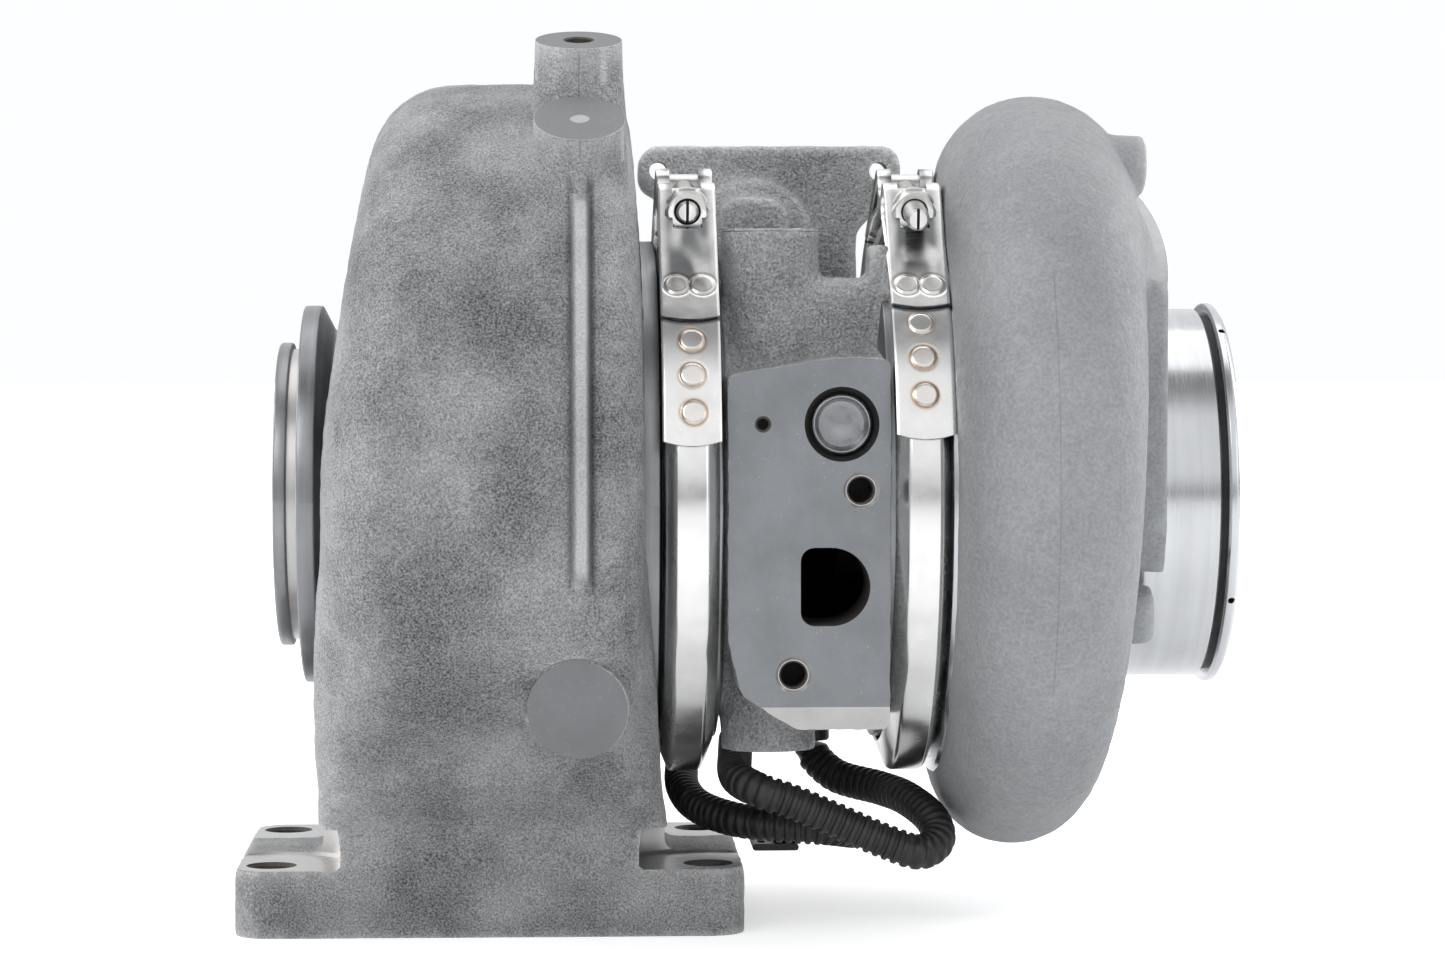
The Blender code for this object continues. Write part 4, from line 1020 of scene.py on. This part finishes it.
def mark_heat_and_shade(body, x, welds, outer_end):
    """Colours of the strap: a brown ring round each weld, painted shade on the fold and down the legs
    below the nut, and a painted shadow under the end of the outer leg."""
    browns, strap_shades = [], []
    for vertex in body.data.vertices:
        co = vertex.co
        reach = hypot(co.y, co.z)
        turn = abs(math.degrees(atan2(co.z, -co.y)) - CLAMP_OPENING)
        brown = 0
        for along, degrees, strength in welds:
            away = (co - Vector(around(x + along, reach, degrees))).length
            ring = math.exp(-((away - 4.3) / 0.6) ** 2)
            halo = 0.25 * math.exp(-(away / 5.5) ** 2)
            brown = max(brown, 0.75 * strength * (ring + halo))
        # Painted shade: a cloudy dark patch down the middle of the strap, from the bolt to near the
        # outer leg's end.
        cloud = noise.noise(Vector((co.x * 0.2, co.y * 0.11, co.z * 0.11)))
        middle = smooth_step((8.8 - abs(co.x - x)) / 3.5)
        strap_shade = 0.85 * middle * smooth_step((outer_end - 3 - turn) / 8) * smooth_step(0.7 + cloud)
        # Painted shadow: a dark line on the inner leg just under the end of the outer leg.
        below = turn - outer_end + 0.94 * ((co.x - x) / STRAP_HALF) ** 2
        if reach < 97.3 and below > -0.5:
            strap_shade = max(strap_shade, smooth_step((1.1 - below) / 0.7))
        browns.append(min(1, brown))
        strap_shades.append(strap_shade)
    for label, values in (("weld_brown", browns), ("painted_strap_shade", strap_shades)):
        body.data.attributes.new(label, "FLOAT", "POINT").data.foreach_set("value", values)


def build_band(name, node, x, looks):
    section = ((-9.4, 85.6, 0.4), (-8.1, 88.9, 1.2), (-5.6, 95.2, 1.8), (-4.4, 95.6, 0.8),
               (4.4, 95.6, 0.8), (5.6, 95.2, 1.8), (8.1, 88.9, 1.2), (9.4, 85.6, 0.4),
               (8.1, 85.2, 0.4), (4.2, 93.8, 1.2), (-4.2, 93.8, 1.2), (-8.1, 85.2, 0.4))
    band = turned([(x + side, *rest) for side, *rest in section], looks["stainless"], 180,
                  CLAMP_OPENING + 5, CLAMP_OPENING + 355)
    show(band, name, node, sharp=50)


def trunnion(middle, material):
    along = Vector((8.6, 0, 0))
    return spun([(0, 4.7), (0.5, 5.25), (16.7, 5.25), (17.2, 4.7)], middle - along, middle + along,
                material)


def build_fastener(prefix, x, bolt_end, looks):
    """T bolt with its rear trunnion, front trunnion, washer bush and nut."""
    zinc = looks["zinc"]
    rear = bolt_point(x, -TRUNNION_PLACE)
    bolt = trunnion(rear, zinc)
    shank = [(0, 3.9), (14, 3.9), (15, 3.4)]
    reach = bolt_end + TRUNNION_PLACE
    shank += thread_profile(15.5, reach - 1.9, 3.98, 3.45)
    shank += [(reach - 0.9, 3.7), (reach, 2.9)]
    add(bolt, spun(shank, rear, bolt_point(x, 50), zinc))
    tip = bolt_point(x, bolt_end)
    back = bolt_point(x, bolt_end - 1.6)
    corners = ((-0.5, -6), (0.5, -6), (0.5, 6), (-0.5, 6))
    # The slot in the bolt's end is lined near black: painted shade.
    cut(bolt, loft([clamp_ring(place, corners) for place in (back, tip + (tip - back).normalized())],
                   looks["groove"]))
    show(bolt, f"{prefix}_bolt", f"{prefix}_t_bolt")

    front = bolt_point(x, TRUNNION_PLACE)
    bush = trunnion(front, zinc)
    add(bush, spun([(0, 4.9), (7.6, 4.9), (7.9, 4.7)], front, bolt_point(x, 40), zinc))
    cut(bush, rod(bolt_point(x, 0), bolt_point(x, 30), 4.2, zinc))
    show(bush, f"{prefix}_cross_pin", f"{prefix}_trunnion")

    nut = hexagon(bolt_point(x, 21.3), bolt_point(x, 27.6), 6.3, 6.5, zinc)
    add(nut, spun([(0, 7), (0.2, 7.3), (1, 7.3), (1.2, 7)], bolt_point(x, 21.1),
                  bolt_point(x, 30), zinc, 64))
    # The nut's bore is lined near black: painted shade round the bolt.
    hole = [(0, 4.9), (3.2, 4.9), (4.1, 4.1), (9.2, 4.1), (10, 4.9), (13, 4.9)]
    cut(nut, spun(hole, bolt_point(x, 18), bolt_point(x, 32), looks["groove"]))
    show(nut, f"{prefix}_hex_nut", f"{prefix}_nut")


def build_clamps(looks):
    low_three = ((0.3, 33.6, 0.9), (0.3, 26, 0.8), (0.6, 18.3, 0.9))
    high_three = ((-0.4, 37.6, 0.6), (-0.2, 29.7, 1), (0, 21.8, 1))
    fold_pair = ((-4.2, 46.5, 0.35), (4.2, 46.5, 0.25))
    for prefix, x, end, welds, inner, outer in (
            ("turbine_clamp", CLAMP_TURBINE_X, 29, low_three, 66.3, 40),
            ("compressor_clamp", CLAMP_COMPRESSOR_X, 42, high_three, 65, 36.9)):
        build_band(f"{prefix}_ring", f"{prefix}_band", x, looks)
        build_strap(f"{prefix}_near_strap", f"{prefix}_front_strap", x, 1, inner, outer,
                    welds + fold_pair, looks)
        mirrored = tuple((along, 2 * CLAMP_OPENING - degrees, strength)
                         for along, degrees, strength in welds + fold_pair)
        build_strap(f"{prefix}_far_strap", f"{prefix}_rear_strap", x, -1, inner - 2, outer,
                    mirrored, looks)
        build_fastener(prefix, x, end, looks)


# ---- harness

LONG_RUN = (
    (113, 25, -89.8), (113.2, 24.8, -94), (121, 17, -100.5), (135, 2, -103), (143, -12, -105),
    (150, -28, -110), (151, -38, -116), (144, -45, -119), (132, -46, -115), (116, -46, -108),
    (101, -47, -101.5), (91, -47, -98), (84.5, -39, -95.5), (83, -23, -94), (84, -3, -90.5),
    (85, 14, -87))
SHORT_RUN = (
    (70, 62, -92), (67, 40, -100), (67, 18, -105), (72, 0, -109), (84, -16, -111.5),
    (100, -24, -112.5), (115, -24, -113.5), (124, -12, -116), (121.5, 3, -117), (114, 5, -117))


def corrugated(anchors, material):
    """Corrugated sleeve along a smooth curve: square ribs with rounded shoulders."""
    samples = [curve_through(anchors, step / 400) for step in range(401)]
    lengths = lengths_along(samples)
    total = lengths[-1]
    profile = ((0, 5.15), (0.32, 5.15), (0.40, 5.75), (0.48, 6), (0.82, 6), (0.90, 5.75))
    count = int(total / 3.2)
    rings = []
    across = Vector((0.31, 0.77, 0.55))
    index = 0
    for rib in range(count):
        for part, radius in profile:
            length = (rib + part) * total / count
            while index < 399 and lengths[index + 1] < length:
                index += 1
            span = lengths[index + 1] - lengths[index]
            centre = samples[index].lerp(samples[index + 1], (length - lengths[index]) / span)
            ahead = (samples[min(index + 3, 400)] - samples[max(index - 2, 0)]).normalized()
            across = (across - ahead * across.dot(ahead)).normalized()
            over = ahead.cross(across)
            rings.append([centre + (across * a + over * b) * radius for a, b in circle(28)])
    return loft(rings, material)


def build_harness(looks):
    plastic = looks["black_plastic"]
    for name, run in (("sensor", LONG_RUN), ("connector", SHORT_RUN)):
        show(corrugated(run, plastic), f"{name}_sleeve", f"{name}_conduit", sharp=60)
    sensor = spun([(0, 5.2), (0.6, 6), (24, 6)], (*SENSOR, -59), (*SENSOR, -90), plastic)
    add(sensor, hexagon((*SENSOR, -78.3), (*SENSOR, -84.4), 6.1, 8.2, looks["zinc"]),
        spun([(0, 5.6), (3.8, 5.6), (4.4, 5.1)], (*SENSOR, -84), (*SENSOR, -90), plastic))
    show(sensor, "speed_sensor_body", "speed_sensor")
    connector = box((97.5, -2, -121.5), (112.6, 12, -112.5), 2.5, "x", plastic)
    for step in range(4):
        low = 99.5 + 3 * step
        add(connector, box((low, -2.6, -121.9), (low + 1.4, 12.6, -112.1), 2.8, "x", plastic))
    add(connector, box((90, -6, -123.6), (106, 14, -121.2), 1.1, "y", plastic))
    add(connector, box((103, 1, -113), (109, 9, -110.6), 1, "x", plastic))
    cut(connector, box((92, -3, -125), (94.5, 11, -120), 1, "z", plastic))
    show(connector, "harness_plug", "harness_connector")


# ---- pieces carried over from the CAD

def dress_hidden_nodes(frame, looks):
    """Every CAD node that stays gets its own finished material."""
    finishes = {
        "nickel_alloy": ("shroud_plate", "oil_baffle", "nozzle_ring", "push_rod_front",
                         "push_rod_rear"),
        "gasket_steel": ("flange_gasket",),
        "bronze": ("journal_bearing_turbine", "journal_bearing_compressor", "thrust_bearing",
                   "cross_shaft_bush_front", "cross_shaft_bush_rear"),
        "rubber": ("back_plate_o_ring", "cross_shaft_seal"),
        "machined_aluminium": ("compressor_back_plate",),
        "steel": ("shroud_retaining_ring", "turbine_seal_ring", "heat_shield", "locating_dowel",
                  "bearing_stop_ring_turbine", "bearing_stop_ring_compressor",
                  "compressor_seal_ring", "thrust_collar", "oil_slinger", "cross_shaft",
                  "fork_arm_front", "fork_arm_rear", "sector_gear"),
        "zinc": tuple(f"thrust_bearing_screw_{index}" for index in (1, 2, 3))
        + tuple(f"back_plate_bolt_{index}" for index in (1, 2, 3, 4)),
    }
    for look, names in finishes.items():
        for name in names:
            node = frame["nodes"][name]
            for slot in node.material_slots:
                slot.material = looks[look]


# ---- floor, light and camera

def build_floor():
    """A plain pale floor that fades into the white background behind the object."""
    size = 9
    points = [(x, y, 0) for x, y in ((-size, -size), (size, -size), (size, size), (-size, size))]
    material, tree, shader = new_material("pale studio floor")
    place = object_place(tree)
    cloud = grain(tree, place, 3, 2, 0.5)
    tone = mix_colour(tree, cloud, (0.92, 0.92, 0.925), (0.94, 0.94, 0.94))
    feed(tree, shader.inputs["Base Color"], tone)
    shader.inputs["Roughness"].default_value = 0.8
    distance = node(tree, "VectorMath", place, operation="LENGTH", output="Value")
    share = remap(tree, node(tree, "LightPath", output="Is Camera Ray"), 0, 1, 0.2, 1)
    glow = times(tree, share, remap(tree, distance, 0.25, 1.1, 0.45, 1.25))
    shader.inputs["Emission Color"].default_value = (1, 1, 1, 1)
    feed(tree, shader.inputs["Emission Strength"], glow)
    build_mesh("studio_floor", points, [(0, 1, 2, 3)], material)


def area_light(name, place, target, size, power, tint=(1, 1, 1)):
    lamp = bpy.data.lights.new(name, "AREA")
    lamp.shape = "RECTANGLE"
    lamp.size, lamp.size_y = size
    lamp.energy = power
    lamp.color = tint
    item = new_item(name, lamp)
    item.location = place
    item.rotation_mode = "QUATERNION"
    item.rotation_quaternion = (Vector(target) - Vector(place)).to_track_quat("-Z", "Y")


def build_light():
    middle = (0.09, 0, 0.15)
    area_light("key", (-0.75, -1.1, 1.15), middle, (0.9, 0.7), 5.5)
    area_light("fill", (1.25, -1.2, 0.55), middle, (0.7, 1.1), 1.6, (0.97, 0.985, 1))
    area_light("top", (0.1, 0.25, 1.25), middle, (1.2, 0.8), 4)
    area_light("left_edge", (-1.1, 0.35, 0.45), middle, (0.35, 1), 4.5)
    area_light("right_edge", (1.2, 0.6, 0.55), middle, (0.35, 1), 4)
    world = bpy.data.worlds.new("studio")
    bpy.context.scene.world = world
    world.use_nodes = True
    tree = world.node_tree
    background = tree.nodes["Background"]
    up = split_place(tree, node(tree, "TexCoord", output="Generated"))[2]
    wall = remap(tree, up, 0.02, 0.18, 0.22, 0.95)
    ceiling = remap(tree, up, 0.78, 0.92, 1, 0.3)
    seen = node(tree, "LightPath", output="Is Camera Ray")
    strength = calc(tree, "MAXIMUM", times(tree, wall, ceiling), seen)
    background.inputs["Color"].default_value = (0.985, 0.99, 1, 1)
    feed(tree, background.inputs["Strength"], strength)


def build_camera():
    camera = bpy.data.cameras.new("photo view")
    camera.lens = 101.45
    camera.sensor_width = 36
    item = new_item("photo_view", camera)
    item.location = (0.018, -1.405, 0.211)
    item.rotation_euler = (radians(90 - 2.55), 0, radians(-2.52))
    bpy.context.scene.camera = item
    bpy.context.scene.view_settings.view_transform = "Standard"


def main():
    for item in list(bpy.data.objects):
        bpy.data.objects.remove(item)
    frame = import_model()
    looks = make_materials()
    build_turbine_casing(looks)
    build_wheels(looks)
    build_bearing_casing(looks)
    build_core_plug(looks)
    build_compressor_casing(looks)
    build_inlet_ring(looks)
    build_clamps(looks)
    build_harness(looks)
    dress_hidden_nodes(frame, looks)
    build_floor()
    build_light()
    build_camera()


main()
